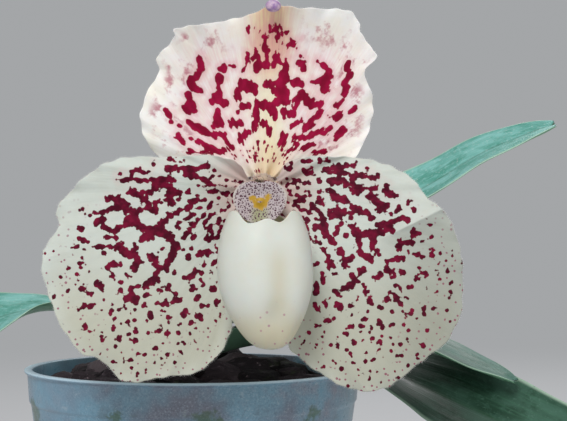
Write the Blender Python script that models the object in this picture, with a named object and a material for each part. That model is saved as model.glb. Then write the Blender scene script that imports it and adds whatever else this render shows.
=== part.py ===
"""A potted paphiopedilum: one spotted flower over a small fan of leaves, in a plastic pot of bark.

The origin is the middle of the pot's underside, +Z is up and the flower faces -Y. Flower parts
are laid out in the flower's own directions (right, up, forward) about the point where they all
meet, and are then carried to that point. Sizes are real, written in millimetres times MM.
"""

import math
import random

import bmesh
import bpy
import numpy as np
from mathutils import Matrix, Vector

MM = 0.001
GAP = 0.3 * MM

# The pot: a rolled lip, a shallow band, a small step and a tapered body.
POT_HEIGHT = 65 * MM
POT_LIP_RADIUS = 37.5 * MM
POT_BAND_RADIUS = 36.8 * MM
POT_STEP = 0.8 * MM
POT_STEP_HEIGHT = 57.5 * MM
POT_BASE_RADIUS = 28 * MM
POT_WALL = 1.1 * MM
POT_LIP_DEPTH = 1.3 * MM
POT_FLOOR = 1.4 * MM
POT_SIDES = 56
SLOT_COUNT = 8
SLOT_WIDTH = 3.4 * MM
SLOT_HEIGHT = 6 * MM
SLOT_INNER_RADIUS = 22 * MM

# The bark: a bed with a plain hole for the plant, and chunks standing out of it.
BED_EDGE_HEIGHT = 58.5 * MM
BED_CROWN_HEIGHT = 64 * MM
BED_CLEARANCE = 0.4 * MM
BED_SIDES = 40
CHUNK_COUNT = 46
CHUNK_SPREAD = 31.5 * MM
CHUNK_SIZE = (4.2 * MM, 6.6 * MM)
CHUNK_FLATNESS = 0.6
PLANT = Vector((-8 * MM, 4 * MM, 0))
HOLE_RADIUS = (8.5 * MM, 6 * MM)
HOLE_FLOOR = 28 * MM

# The plant's base.
CROWN_BOTTOM = 60.3 * MM
CROWN_TOP = 80 * MM
RHIZOME_TOP = 60 * MM
ROOT_COUNT = 6
ROOT_RADIUS = 1.3 * MM
ROOT_END = HOLE_FLOOR + GAP

LEAF_THICKNESS = 1.2 * MM
PETAL_THICKNESS = 0.9 * MM
LIP_THICKNESS = 0.8 * MM

# Where the flower's parts meet, at the top of the ovary.
FLOWER = Vector((16 * MM, -45 * MM, 103 * MM))
# How far in front of that point each whorl is seated.
SEPAL_SEAT = 0.6 * MM
PETAL_SEAT = 1.8 * MM
SYNSEPAL_SEAT = 0.5 * MM

# Outlines as (right, up) in mm from where the parts meet, seen from the front, in order round the edge.
DORSAL_OUTLINE = (
    (0, 2.5), (-9, 2.6), (-17, 4.4), (-21.4, 8.2), (-22.9, 13), (-21.6, 18.2), (-19.4, 22.4), (-19.7, 24.6),
    (-15.6, 29.2), (-9.6, 30.7), (-3.2, 32.2), (0.6, 33.4), (2.3, 35), (3.8, 33.6), (10, 33.2), (16.2, 32.6),
    (18.9, 29), (21.3, 24.7), (19.4, 22.1), (20.9, 16.3), (19.9, 10.4), (16.4, 5), (9, 2.8),
)  # fmt: skip
LEFT_PETAL_OUTLINE = (
    (-2.6, 1.2), (-4.2, 4.6), (-9, 6.3), (-18, 6), (-26.1, 5.7), (-31, 3.6), (-36, -0.8), (-38.3, -4.4),
    (-37.8, -7.4), (-40, -10.6), (-40.6, -15), (-39.4, -19.5), (-36.6, -25.6), (-33.2, -30.2), (-29.6, -31.8),
    (-26.4, -35.2), (-23.6, -35.9), (-17, -34.7), (-13.8, -34.6), (-9.6, -32.4), (-6.6, -28.5), (-5.2, -23),
    (-5.2, -15), (-4.2, -7), (-2.7, -1.8),
)  # fmt: skip
RIGHT_PETAL_OUTLINE = (
    (2.6, -1.8), (4.2, -8), (5, -16), (4.6, -23), (4.8, -29), (8.4, -32.6), (13.2, -35.8), (17.6, -37.5),
    (22.4, -37.1), (26.4, -34.4), (30, -31.4), (33.8, -28.3), (36.6, -23.3), (37.3, -17.4), (36.8, -11.6),
    (35, -6.4), (33, -3.5), (30.6, -1.9), (28.6, 1.2), (24.6, 4), (19.4, 5.7), (12, 6.2), (5.4, 5.4), (2.8, 2),
)  # fmt: skip
SYNSEPAL_OUTLINE = (
    (0, -2.5), (-3.4, -4.2), (-6.6, -9), (-7.4, -14.5), (-5, -19.4), (0, -22), (5, -19.4), (7.4, -14.5),
    (6.6, -9), (3.4, -4.2),
)  # fmt: skip

# The lip's pouch: half its width at each height, from the tip up to the mouth, as (half width, up) in mm.
POUCH_PROFILE = (
    (0, -29.3), (2.7, -28.8), (4.9, -27.4), (6.6, -24.9), (7.9, -21.8), (8.6, -18), (8.7, -14.2), (8.1, -10),
    (7.1, -6.6),
)  # fmt: skip
POUCH_CENTRE = Vector((0.6 * MM, 0, 0))
POUCH_FORWARD = 17.2 * MM
POUCH_DEPTH_SHARE = 0.92
POUCH_TIP_SHIFT = 1.2 * MM

# Centre lines of the leaves, the scape and the ovary, in mm in the pot's own frame.
LEAVES = {
    "leaf_low_right": (
        ((0.4, 2.8, 66.9), (16, 1, 70.5), (30, -2.5, 69.3), (38, -5.5, 66.9), (45, -8, 63.3), (54, -11, 59.6),
         (68.7, -17, 53.4), (80, -21, 48.6), (97, -27, 41)),
        26, -28, 13,
    ),
    "leaf_mid_right": (
        ((-0.8, 4.2, 71.4), (14, 4, 76.6), (28, 0.5, 76.9), (41, -4, 74), (50, -7, 70.9), (57.5, -9.5, 67.8),
         (69.5, -13.5, 63)),
        17, -6, 10,
    ),
    "leaf_high_right": (
        ((-3.8, 4.8, 76.4), (8, 7, 84.8), (28, 8.8, 93.8), (52, 9.5, 104.8), (67, 8.5, 113.6), (82, 6.5, 119.6)),
        18, -26, 12,
    ),
    "leaf_left": (
        ((-15.6, 4.6, 70.4), (-23, 4.5, 75), (-31, 3, 77.8), (-42, 1.5, 76.2), (-55, -1, 70.8), (-71, -3, 61)),
        20, 32, 12,
    ),
    "leaf_young": (
        ((-13.7, 4.8, 76.8), (-16, 7.2, 86), (-19, 8.6, 97), (-24, 8.4, 105.5)),
        11, 18, 26,
    ),
}  # fmt: skip
LEAF_ROWS = 16
LEAF_NOTCH = 1.8 * MM
SCAPE_LINE = ((-7.3, 0.1, 76.6), (-4.6, -4, 80.2), (3.5, -14, 87), (12.4, -24.8, 94))
SCAPE_RADIUS = 1.6 * MM
OVARY_LINE = ((13, -25.5, 94.4), (14.4, -30.5, 98), (15.5, -36, 101.2), (16, -41, 102.8), (16, -44.6, 103))
BRACT_LENGTH_SHARE = 0.62
STAMINODE_OUTLINE = (
    (0, -6.8), (-2.6, -5.9), (-4.4, -3.6), (-4.8, -0.8), (-3.6, 1.4), (-1.4, 2.1), (0, 1.5), (1.4, 2.1),
    (3.6, 1.4), (4.8, -0.8), (4.4, -3.6), (2.6, -5.9),
)  # fmt: skip
STAMINODE_FORWARD = 12.1 * MM
STAMINODE_SHIFT = Vector((-0.3 * MM, 0, 0))


def clear_scene():
    for obj in list(bpy.data.objects):
        bpy.data.objects.remove(obj, do_unlink=True)


def material(name, colour, roughness):
    """A Principled BSDF with one colour."""
    made = bpy.data.materials.new(name)
    made.use_nodes = True
    shader = made.node_tree.nodes["Principled BSDF"]
    shader.inputs["Base Color"].default_value = (*colour, 1)
    shader.inputs["Roughness"].default_value = roughness
    shader.inputs["Metallic"].default_value = 0
    return made


def object_from(name, points, faces, finish):
    """A mesh object of those points and faces, shaded smooth except at sharp edges."""
    mesh = bpy.data.meshes.new(name)
    mesh.from_pydata([tuple(p) for p in points], [], [tuple(int(i) for i in f) for f in faces])
    mesh.materials.append(finish)
    mesh.shade_smooth()
    mesh.set_sharp_from_angle(angle=math.radians(40))
    obj = bpy.data.objects.new(name, mesh)
    bpy.context.scene.collection.objects.link(obj)
    return obj


def solidify(obj, thickness, offset=0.0):
    """Gives a sheet its thickness, centred on the sheet at offset 0 and behind it at offset -1."""
    wall = obj.modifiers.new("thickness", "SOLIDIFY")
    wall.thickness = thickness
    wall.offset = offset
    wall.use_rim = True
    return obj


def hermite(points, closed, steps=16):
    """A smooth line through the points, as a cubic on each span whose slopes suit uneven spacing."""
    p = np.array(points, float)
    before = np.roll(p, 1, axis=0)
    after = np.roll(p, -1, axis=0)
    if not closed:
        before[0] = 2 * p[0] - p[1]
        after[-1] = 2 * p[-1] - p[-2]
    span_in = np.linalg.norm(p - before, axis=1, keepdims=True)
    span_out = np.linalg.norm(after - p, axis=1, keepdims=True)
    slope = (after - before) / (span_in + span_out)
    ends = np.roll(p, -1, axis=0)
    end_slope = np.roll(slope, -1, axis=0)
    count = len(p) if closed else len(p) - 1
    t = np.linspace(0, 1, steps, endpoint=False)[None, :, None]
    a, b = p[:count, None], ends[:count, None]
    m, n = (slope * span_out)[:count, None], (end_slope * span_out)[:count, None]
    line = (
        a * (2 * t**3 - 3 * t**2 + 1) + m * (t**3 - 2 * t**2 + t) + b * (3 * t**2 - 2 * t**3) + n * (t**3 - t**2)
    ).reshape(-1, p.shape[1])
    return np.vstack([line, p[:1] if closed else p[-1:]])


def evenly(line, count, closed=False):
    """count points at equal distances along a line."""
    run = np.concatenate([[0], np.cumsum(np.linalg.norm(np.diff(line, axis=0), axis=1))])
    at = np.linspace(0, run[-1], count, endpoint=not closed)
    return np.stack([np.interp(at, run, line[:, k]) for k in range(line.shape[1])], axis=1)


def disc_grid(outline, rings):
    """Rings shrunk from an outline to its middle: flat points, each one's share of the way out, and triangles."""
    hub = outline.mean(axis=0)
    shares = np.linspace(0, 1, rings + 1)[1:] ** 0.85
    flat = np.vstack([hub[None], *(hub + s * (outline - hub) for s in shares)])
    out = np.concatenate([[0], np.repeat(shares, len(outline))])
    n = len(outline)
    faces = [(0, 1 + i, 1 + (i + 1) % n) for i in range(n)]
    for ring in range(rings - 1):
        inner, outer = 1 + ring * n, 1 + (ring + 1) * n
        for i in range(n):
            j = (i + 1) % n
            faces += [(inner + i, outer + i, outer + j), (inner + i, outer + j, inner + j)]
    return flat, out, faces


def strip_grid(rows, columns, closed=False):
    """Triangles of a grid of rows by columns, its last column joined to its first if closed."""
    faces = []
    for r in range(rows - 1):
        for c in range(columns if closed else columns - 1):
            a, b = r * columns + c, r * columns + (c + 1) % columns
            faces += [(a, b, b + columns), (a, b + columns, a + columns)]
    return faces


def from_flower(right, up, forward):
    """Flower directions to places in the pot's frame."""
    return np.stack([FLOWER.x + right, FLOWER.y - forward, FLOWER.z + up], axis=-1)


def turned(name, profile, sides, finish, centre=(0, 0)):
    """A solid turned round an upright axis from a profile of (radius, height) that runs from axis to axis."""
    turn = np.arange(sides) * 2 * math.pi / sides
    points = [(centre[0], centre[1], profile[0][1])]
    for radius, height in profile[1:-1]:
        points += [(centre[0] + radius * math.cos(a), centre[1] + radius * math.sin(a), height) for a in turn]
    points.append((centre[0], centre[1], profile[-1][1]))
    last = len(points) - 1
    rings = len(profile) - 2
    faces = [(0, 1 + (i + 1) % sides, 1 + i) for i in range(sides)]
    faces += [[k + 1 for k in face] for face in strip_grid(rings, sides, closed=True)]
    faces += [(last, last - sides + i, last - sides + (i + 1) % sides) for i in range(sides)]
    return object_from(name, points, faces, finish)


def frames_along(line):
    """Forward, side and top directions at each point of a line, with the top kept as near upright as it can be."""
    forward = np.gradient(line, axis=0)
    forward /= np.linalg.norm(forward, axis=1, keepdims=True)
    side = np.cross(forward, (0, 0, 1))
    side /= np.linalg.norm(side, axis=1, keepdims=True)
    return forward, side, np.cross(side, forward)


def tube(name, line, radius_at, sides, finish, flatten=1.0):
    """A closed tube along a line. radius_at gives its radius from the share of the way along and the angle round."""
    _, side, top = frames_along(line)
    rows = len(line)
    turn = np.arange(sides) * 2 * math.pi / sides
    share = np.linspace(0, 1, rows)
    radius = radius_at(share[:, None], turn[None, :]) * np.ones((rows, sides))
    ring = (
        line[:, None]
        + (radius * np.cos(turn))[..., None] * side[:, None]
        + (radius * np.sin(turn) * flatten)[..., None] * top[:, None]
    )
    points = np.vstack([line[:1], ring.reshape(-1, 3), line[-1:]])
    last = len(points) - 1
    faces = [(0, 1 + i, 1 + (i + 1) % sides) for i in range(sides)]
    faces += [[k + 1 for k in face[::-1]] for face in strip_grid(rows, sides, closed=True)]
    faces += [(last, last - sides + (i + 1) % sides, last - sides + i) for i in range(sides)]
    return object_from(name, points, faces, finish)


def recalculate(obj):
    """Turns every face outwards."""
    work = bmesh.new()
    work.from_mesh(obj.data)
    bmesh.ops.recalc_face_normals(work, faces=work.faces)
    work.to_mesh(obj.data)
    work.free()
    return obj


def combine(obj, others, operation):
    """Joins the other objects to obj, or cuts them from it, in one Boolean, and removes them."""
    group = bpy.data.collections.new(obj.name + "_others")
    bpy.context.scene.collection.children.link(group)
    for other in others:
        for holder in list(other.users_collection):
            holder.objects.unlink(other)
        group.objects.link(other)
    step = obj.modifiers.new(operation.lower(), "BOOLEAN")
    step.operation = operation
    step.operand_type = "COLLECTION"
    step.collection = group
    step.solver = "EXACT"
    bpy.context.view_layer.objects.active = obj
    bpy.ops.object.modifier_apply(modifier=step.name)
    for other in others:
        bpy.data.objects.remove(other, do_unlink=True)
    bpy.data.collections.remove(group)
    return obj


def wall_radius(height, inset=0.0):
    """The outer radius of the pot's tapered body at a height, less an inset."""
    top = POT_BAND_RADIUS - POT_STEP
    return POT_BASE_RADIUS + (top - POT_BASE_RADIUS) * height / POT_STEP_HEIGHT - inset


def drainage_slots(finish):
    """Bars that cut the drainage slots through the corner of the pot's floor and wall."""
    made = []
    reach = POT_BASE_RADIUS + 8 * MM - SLOT_INNER_RADIUS
    for i in range(SLOT_COUNT):
        angle = (i + 0.5) * 2 * math.pi / SLOT_COUNT
        bpy.ops.mesh.primitive_cube_add(size=1)
        bar = bpy.context.object
        bar.data.materials.append(finish)
        middle = SLOT_INNER_RADIUS + reach / 2
        place = Matrix.Rotation(angle, 4, "Z") @ Matrix.Translation((middle, 0, 0))
        bar.data.transform(place @ Matrix.Diagonal((reach, SLOT_WIDTH, 2 * SLOT_HEIGHT, 1)))
        made.append(bar)
    return made


def make_pot():
    """A thin wall turned from its profile, with a flat floor and drainage slots."""
    finish = material("pot_plastic", (0.52, 0.62, 0.68), 0.35)
    floor_inner = wall_radius(POT_FLOOR, POT_WALL)
    band_top = POT_HEIGHT - POT_LIP_DEPTH
    profile = (
        (0, 0),
        (POT_BASE_RADIUS - 1 * MM, 0),
        (POT_BASE_RADIUS, 1 * MM),
        (wall_radius(POT_STEP_HEIGHT), POT_STEP_HEIGHT),
        (POT_BAND_RADIUS - 0.4 * MM, POT_STEP_HEIGHT + 0.5 * MM),
        (POT_BAND_RADIUS, band_top),
        (POT_LIP_RADIUS, band_top + 0.4 * MM),
        (POT_LIP_RADIUS, POT_HEIGHT - 0.4 * MM),
        (POT_LIP_RADIUS - 0.4 * MM, POT_HEIGHT),
        (POT_BAND_RADIUS - POT_WALL + 0.3 * MM, POT_HEIGHT),
        (POT_BAND_RADIUS - POT_WALL, POT_HEIGHT - 0.5 * MM),
        (POT_BAND_RADIUS - POT_WALL - 0.4 * MM, POT_STEP_HEIGHT + 0.5 * MM),
        (wall_radius(POT_STEP_HEIGHT, POT_WALL), POT_STEP_HEIGHT - 0.5 * MM),
        (floor_inner, POT_FLOOR),
        (0, POT_FLOOR),
    )
    pot = turned("pot", profile, POT_SIDES, finish)
    return combine(recalculate(pot), drainage_slots(finish), "DIFFERENCE")


def bed_height(radius):
    """The mound of the bark: flat near its crown, falling towards the pot's wall."""
    share = min(radius / CHUNK_SPREAD, 1)
    return BED_CROWN_HEIGHT + (BED_EDGE_HEIGHT - BED_CROWN_HEIGHT) * share**2


def bark_chunk(centre, size, draw, finish):
    """An angular flake: the hull of points drawn on a flattened ball, turned at random."""
    work = bmesh.new()
    stretch = (draw.uniform(0.9, 1.3), draw.uniform(0.7, 1), CHUNK_FLATNESS)
    for _ in range(11):
        way = Vector((draw.gauss(0, 1), draw.gauss(0, 1), draw.gauss(0, 1))).normalized()
        work.verts.new([size * s * w for s, w in zip(stretch, way)])
    hull = bmesh.ops.convex_hull(work, input=work.verts)
    bmesh.ops.delete(work, geom=list(set(hull["geom_interior"] + hull["geom_unused"])), context="VERTS")
    turn = Matrix.Rotation(draw.uniform(0, 2 * math.pi), 4, "Z") @ Matrix.Rotation(draw.uniform(-0.5, 0.5), 4, "X")
    bmesh.ops.transform(work, matrix=Matrix.Translation(centre) @ turn, verts=work.verts)
    bmesh.ops.recalc_face_normals(work, faces=work.faces)
    mesh = bpy.data.meshes.new("chunk")
    work.to_mesh(mesh)
    work.free()
    mesh.materials.append(finish)
    chunk = bpy.data.objects.new("chunk", mesh)
    bpy.context.scene.collection.objects.link(chunk)
    return chunk


def make_bark():
    """The bed of bark, its chunks set on a spiral of even spacing, and the plain hole that the plant stands in."""
    finish = material("bark", (0.16, 0.11, 0.09), 0.9)
    inset = POT_WALL + BED_CLEARANCE
    bottom = POT_FLOOR + BED_CLEARANCE
    profile = [(0, bottom), (wall_radius(bottom, inset), bottom)]
    profile.append((wall_radius(BED_EDGE_HEIGHT - 2 * MM, inset), BED_EDGE_HEIGHT - 2 * MM))
    for share in (0.93, 0.6, 0.3):
        radius = share * wall_radius(POT_STEP_HEIGHT, inset)
        profile.append((radius, bed_height(radius)))
    profile.append((0, BED_CROWN_HEIGHT))
    bed = recalculate(turned("potting_bark", profile, BED_SIDES, finish))
    draw = random.Random(7)
    golden = math.pi * (3 - math.sqrt(5))
    chunks = []
    for i in range(CHUNK_COUNT):
        size = draw.uniform(*CHUNK_SIZE)
        radius = min(CHUNK_SPREAD * math.sqrt((i + 3.5) / (CHUNK_COUNT + 3)), CHUNK_SPREAD + 1.5 * MM - size)
        angle = i * golden
        centre = Vector((radius * math.cos(angle), radius * math.sin(angle), bed_height(radius) + 0.2 * MM))
        from_plant = (centre - PLANT).to_2d()
        if math.hypot(from_plant.x / HOLE_RADIUS[0], from_plant.y / HOLE_RADIUS[1]) > 1.35:
            chunks.append(bark_chunk(centre, size, draw, finish))
    combine(bed, chunks, "UNION")
    hole = [(0, HOLE_FLOOR), (1, HOLE_FLOOR), (1, POT_HEIGHT + 20 * MM), (0, POT_HEIGHT + 20 * MM)]
    cutter = turned("hole", hole, 24, finish)
    cutter.data.transform(Matrix.Translation(PLANT) @ Matrix.Diagonal((*HOLE_RADIUS, 1, 1)))
    return combine(bed, [recalculate(cutter)], "DIFFERENCE")


def make_crown():
    """The green bundle of leaf bases, a lens in plan because the leaves stand in two ranks."""
    finish = material("leaf_base", (0.33, 0.46, 0.25), 0.5)
    sections = (
        (0, 5.8, 3.8), (0.1, 7.2, 4.6), (0.36, 7.6, 4.8), (0.55, 6.6, 4.2), (0.72, 4.6, 3.3), (0.88, 3, 2.4),
        (1, 1.9, 1.6),
    )  # fmt: skip
    sides = 24
    turn = np.arange(sides) * 2 * math.pi / sides
    points = [(PLANT.x, PLANT.y, CROWN_BOTTOM)]
    for share, across, deep in sections:
        ridged = 1 + 0.04 * np.cos(6 * turn)
        height = CROWN_BOTTOM + share * (CROWN_TOP - CROWN_BOTTOM)
        for a, swell in zip(turn, ridged):
            points.append((
                PLANT.x + across * MM * swell * math.cos(a),
                PLANT.y + deep * MM * swell * math.sin(a),
                height,
            ))
    points.append((PLANT.x, PLANT.y, CROWN_TOP))
    last = len(points) - 1
    faces = [(0, 1 + (i + 1) % sides, 1 + i) for i in range(sides)]
    faces += [[k + 1 for k in face] for face in strip_grid(len(sections), sides, closed=True)]
    faces += [(last, last - sides + i, last - sides + (i + 1) % sides) for i in range(sides)]
    return recalculate(object_from("crown", points, faces, finish))


def make_roots():
    """The short rhizome and the roots that run down from it in the hole."""
    finish = material("root", (0.32, 0.22, 0.13), 0.85)
    top, middle = RHIZOME_TOP, RHIZOME_TOP - 5 * MM
    stock_line = evenly(np.array([(PLANT.x, PLANT.y + 0.01 * MM, top), (PLANT.x, PLANT.y, middle - 7 * MM)]), 6)
    stock = tube_upright("roots", stock_line, lambda s: (4.6 - 2.4 * s**2) * MM, 14, finish)
    roots = []
    for i in range(ROOT_COUNT):
        angle = i * 2 * math.pi / ROOT_COUNT + 0.3
        out = np.array([math.cos(angle) * 1.3, math.sin(angle) * 0.75, 0])
        start = np.array(PLANT) + (0, 0, middle)
        knots = (
            start + out * 1.5 * MM,
            start + out * 4 * MM + (0, 0, -5 * MM),
            start + out * (4.3 + 0.5 * math.sin(5 * i)) * MM + (0, 0, -14 * MM),
            np.array(PLANT) + out * 3.6 * MM + (0, 0, ROOT_END + (i % 3) * 2 * MM),
        )
        line = evenly(hermite(knots, closed=False), 7)
        roots.append(tube_upright("root", line, lambda s: ROOT_RADIUS * (1 - 0.45 * s**3), 6, finish))
    return combine(stock, roots, "UNION")


def tube_upright(name, line, radius_at, sides, finish):
    """A closed tube along a line that runs mostly up or down, in level rings."""
    turn = np.arange(sides) * 2 * math.pi / sides
    ring = np.stack([np.cos(turn), np.sin(turn), np.zeros(sides)], axis=1)
    share = np.linspace(0, 1, len(line))
    points = [line[0]]
    for place, s in zip(line, share):
        points += list(place + ring * radius_at(s))
    points.append(line[-1])
    last = len(points) - 1
    faces = [(0, 1 + i, 1 + (i + 1) % sides) for i in range(sides)]
    faces += [[k + 1 for k in face[::-1]] for face in strip_grid(len(line), sides, closed=True)]
    faces += [(last, last - sides + (i + 1) % sides, last - sides + i) for i in range(sides)]
    return recalculate(object_from(name, points, faces, finish))


def make_leaf(name, knots, width, roll, fold, finish):
    """A strap leaf: folded to a keel at its base, nearly flat beyond, with a small notch in its blunt tip."""
    line = evenly(hermite(np.array(knots) * MM, closed=False), 60)
    _, side, top = frames_along(line)
    along = np.linspace(0, 1, len(line))
    ramp = np.clip((along - 0.27) / 0.33, 0, 1)
    tilt = math.radians(roll) * (ramp * ramp * (3 - 2 * ramp))[:, None]
    side, top = side * np.cos(tilt) + top * np.sin(tilt), top * np.cos(tilt) - side * np.sin(tilt)
    length = np.linalg.norm(np.diff(line, axis=0), axis=1).sum()
    columns = (-1, -0.55, 0, 0.55, 1)
    points = []
    for s in np.linspace(0, 1, LEAF_ROWS) ** 0.9:
        broad = 0.42 + 0.58 * math.sin(min(s / 0.5, 1) * math.pi / 2)
        taper = 1 - 0.78 * max((s - 0.66) / 0.34, 0) ** 2.6
        half = 0.5 * width * MM * broad * taper
        lift = math.radians(fold + (52 - fold) * max(1 - s / 0.32, 0) ** 1.5)
        for t in columns:
            notch = LEAF_NOTCH / length * (1 - abs(t)) ** 2 * max((s - 0.9) / 0.1, 0)
            at = s - notch
            place, across, above = (
                np.array([np.interp(at, along, row[:, k]) for k in range(3)]) for row in (line, side, top)
            )
            points.append(place + half * (t * math.cos(lift) * across + abs(t) ** 1.4 * math.sin(lift) * above))
    sheet = object_from(name, points, strip_grid(LEAF_ROWS, len(columns)), finish)
    return solidify(sheet, LEAF_THICKNESS)


def make_leaves():
    finish = material("leaf", (0.2, 0.38, 0.24), 0.45)
    for name, (knots, width, roll, fold) in LEAVES.items():
        make_leaf(name, knots, width, roll, fold, finish)


def make_scape():
    """The short flower stalk."""
    finish = material("scape", (0.36, 0.33, 0.2), 0.7)
    line = evenly(hermite(np.array(SCAPE_LINE) * MM, closed=False), 10)
    recalculate(tube("scape", line, lambda s, a: SCAPE_RADIUS * (1.15 - 0.15 * s), 12, finish))


def ovary_radius(s, a):
    """Slim at its stalk, swollen and six-ribbed in its middle, flared where the flower sits."""
    swell = np.interp(s, (0, 0.3, 0.6, 0.85, 1), (1.5, 2.1, 2.5, 2.6, 3.6)) * MM
    return swell * (1 + 0.09 * np.cos(6 * a) * np.sin(math.pi * np.clip(s, 0, 0.9) / 0.9))


def make_ovary():
    finish = material("ovary", (0.42, 0.3, 0.26), 0.7)
    line = evenly(hermite(np.array(OVARY_LINE) * MM, closed=False), 12)
    recalculate(tube("ovary", line, ovary_radius, 18, finish))


def make_bract():
    """The boat-shaped sheath under the ovary, pointed and open above."""
    finish = material("bract", (0.42, 0.42, 0.22), 0.6)
    whole = evenly(hermite(np.array(OVARY_LINE) * MM, closed=False), 60)
    line = whole[: int(len(whole) * BRACT_LENGTH_SHARE)][::5]
    _, side, top = frames_along(line)
    columns = 9
    points = []
    for i, place in enumerate(line):
        s = i / (len(line) - 1)
        half_turn = math.radians(115 * (1 - s) ** 0.6 + 8)
        reach = (2.6 + 1.7 * s) * MM
        for c in np.linspace(-1, 1, columns):
            a = -math.pi / 2 + c * half_turn
            points.append(place + reach * (math.cos(a) * side[i] + math.sin(a) * top[i]))
    solidify(object_from("bract", points, strip_grid(len(line), columns), finish), 0.7 * MM)


def bowl(right, up, rise, reach, steep, steep_reach):
    """How far forward a flower part stands: a quick rise near its base, then a shallow bowl."""
    away = np.hypot(right, up)
    return steep * (1 - np.exp(-((away / steep_reach) ** 2))) + rise * (away / reach) ** 2


def petal_forward(right, up, out):
    """The petals' relief: their bowl and the waves of their margins."""
    turn = np.arctan2(up, np.abs(right))
    wave = 0.8 * MM * np.sin(9 * turn + np.where(right < 0, 0.6, 2.2)) + 0.4 * MM * np.sin(17 * turn)
    return PETAL_SEAT + bowl(right, up, 4 * MM, 42 * MM, 4 * MM, 10 * MM) + wave * out**5


def dorsal_forward(right, up, out):
    """The dorsal sepal's relief: a hood with a keel down its middle, a rolled top and a waved edge."""
    hood = bowl(right, up, 8.5 * MM, 34 * MM, 0, 1)
    roll = 2.2 * MM * np.clip((up - 24 * MM) / (11 * MM), 0, 1) ** 2
    keel = -0.7 * MM * np.exp(-((right - 1.2 * MM) / (1.6 * MM)) ** 2) * np.clip(up / (30 * MM), 0, 1)
    wave = 0.9 * MM * np.sin(11 * np.arctan2(right, up)) * out**6
    return SEPAL_SEAT + hood + roll + keel + wave


def synsepal_forward(right, up, out):
    return SYNSEPAL_SEAT + bowl(right, up, 2.4 * MM, 22 * MM, 0, 1)


def make_blade(name, outline, forward, rings, sectors, finish):
    """A sepal or petal: rings shrunk from its outline, raised by its relief and given its thickness."""
    edge = evenly(hermite(np.array(outline) * MM, closed=True), sectors, closed=True)
    flat, out, faces = disc_grid(edge, rings)
    points = from_flower(flat[:, 0], flat[:, 1], forward(flat[:, 0], flat[:, 1], out))
    return solidify(object_from(name, points, faces, finish), PETAL_THICKNESS)


def make_sepals_and_petals():
    white = material("petal", (0.88, 0.85, 0.76), 0.5)
    make_blade("dorsal_sepal", DORSAL_OUTLINE, dorsal_forward, 7, 38, white)
    make_blade("synsepal", SYNSEPAL_OUTLINE, synsepal_forward, 4, 20, white)
    make_blade("petal_left", LEFT_PETAL_OUTLINE, petal_forward, 7, 38, white)
    make_blade("petal_right", RIGHT_PETAL_OUTLINE, petal_forward, 7, 38, white)


def pouch_point(share, angle):
    """A place on the pouch. share runs from its tip to its rim, and angle 0 faces forward, a quarter turn right."""
    profile = evenly(hermite(np.array(POUCH_PROFILE) * MM, closed=False), 80)
    along = np.linspace(0, 1, len(profile))
    half, up = np.interp(share, along, profile[:, 0]), np.interp(share, along, profile[:, 1])
    front, beside = math.cos(angle), math.sin(angle)
    back = max(-front, 0) ** 1.5
    rim = max((share - 0.72) / 0.28, 0)
    ears = math.exp(-(((abs(angle) - 1.75) / 0.45) ** 2))
    tongue = math.exp(-(((abs(angle) - math.pi) / 0.55) ** 2))
    up += rim**2 * MM * (0.9 * ears + 0.6 * math.exp(-((angle / 0.5) ** 2)) + 3.4 * tongue)
    half *= 1 - 0.16 * rim**2 * ears
    deep = half * POUCH_DEPTH_SHARE * (1 - 0.08 * back)
    groove = 0.35 * MM * math.exp(-(((angle - 0.35) / 0.28) ** 2)) * math.sin(math.pi * min(share, 1))
    lean = 4.6 * MM * rim**1.6 * tongue
    shift = POUCH_TIP_SHIFT * (1 - share) ** 2
    right = POUCH_CENTRE.x + shift + (half - groove) * beside * (1 - 0.45 * rim * tongue)
    forward = POUCH_FORWARD + (deep - groove) * front - lean
    return right, up, forward


def make_lip():
    """The pouch: an egg-shaped shell, open above, with ears beside its mouth and a tongue back to the column."""
    finish = material("lip", (0.9, 0.88, 0.8), 0.4)
    rows, columns = 13, 24
    places = [pouch_point(0, 0)]
    for share in np.linspace(0, 1, rows)[1:]:
        for c in range(columns):
            angle = (c / columns * 2 - 1) * math.pi
            places.append(pouch_point(share, angle))
    right, up, forward = np.array(places).T
    faces = [(0, 1 + (i + 1) % columns, 1 + i) for i in range(columns)]
    faces += [[k + 1 for k in face] for face in strip_grid(rows - 1, columns, closed=True)]
    lip = object_from("lip_pouch", from_flower(right, up, forward), faces, finish)
    return solidify(lip, LIP_THICKNESS, offset=-1)


def ball(centre, radii, finish):
    """A low-faceted ellipsoid in flower directions."""
    bpy.ops.mesh.primitive_uv_sphere_add(segments=10, ring_count=6)
    made = bpy.context.object
    place = from_flower(*(np.array(centre) * MM))
    spread = Matrix.Diagonal((radii[0] * MM, radii[2] * MM, radii[1] * MM, 1))
    made.data.transform(Matrix.Translation(place) @ spread)
    made.data.materials.append(finish)
    return made


def make_column():
    """The column, with the stigma hanging under it and an anther on each side."""
    finish = material("column", (0.8, 0.74, 0.58), 0.5)
    line = from_flower(*(np.array([(0, 0, 0.3), (0, 0.1, 4), (0, 0.2, 8), (0, 0, 12)]) * MM).T)
    line = evenly(hermite(line, closed=False), 9)
    column = recalculate(
        tube("column", line, lambda s, a: np.interp(s, (0, 0.2, 0.7, 1), (2, 2, 2.5, 1.9)) * MM, 14, finish)
    )
    anthers = [ball((x, 0.2, 7.6), (1.2, 1.3, 1.7), finish) for x in (-2.5, 2.5)]
    stigma = ball((0, -2.6, 9.4), (1.9, 1.1, 1.5), finish)
    return combine(column, [*anthers, stigma], "UNION")


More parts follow.
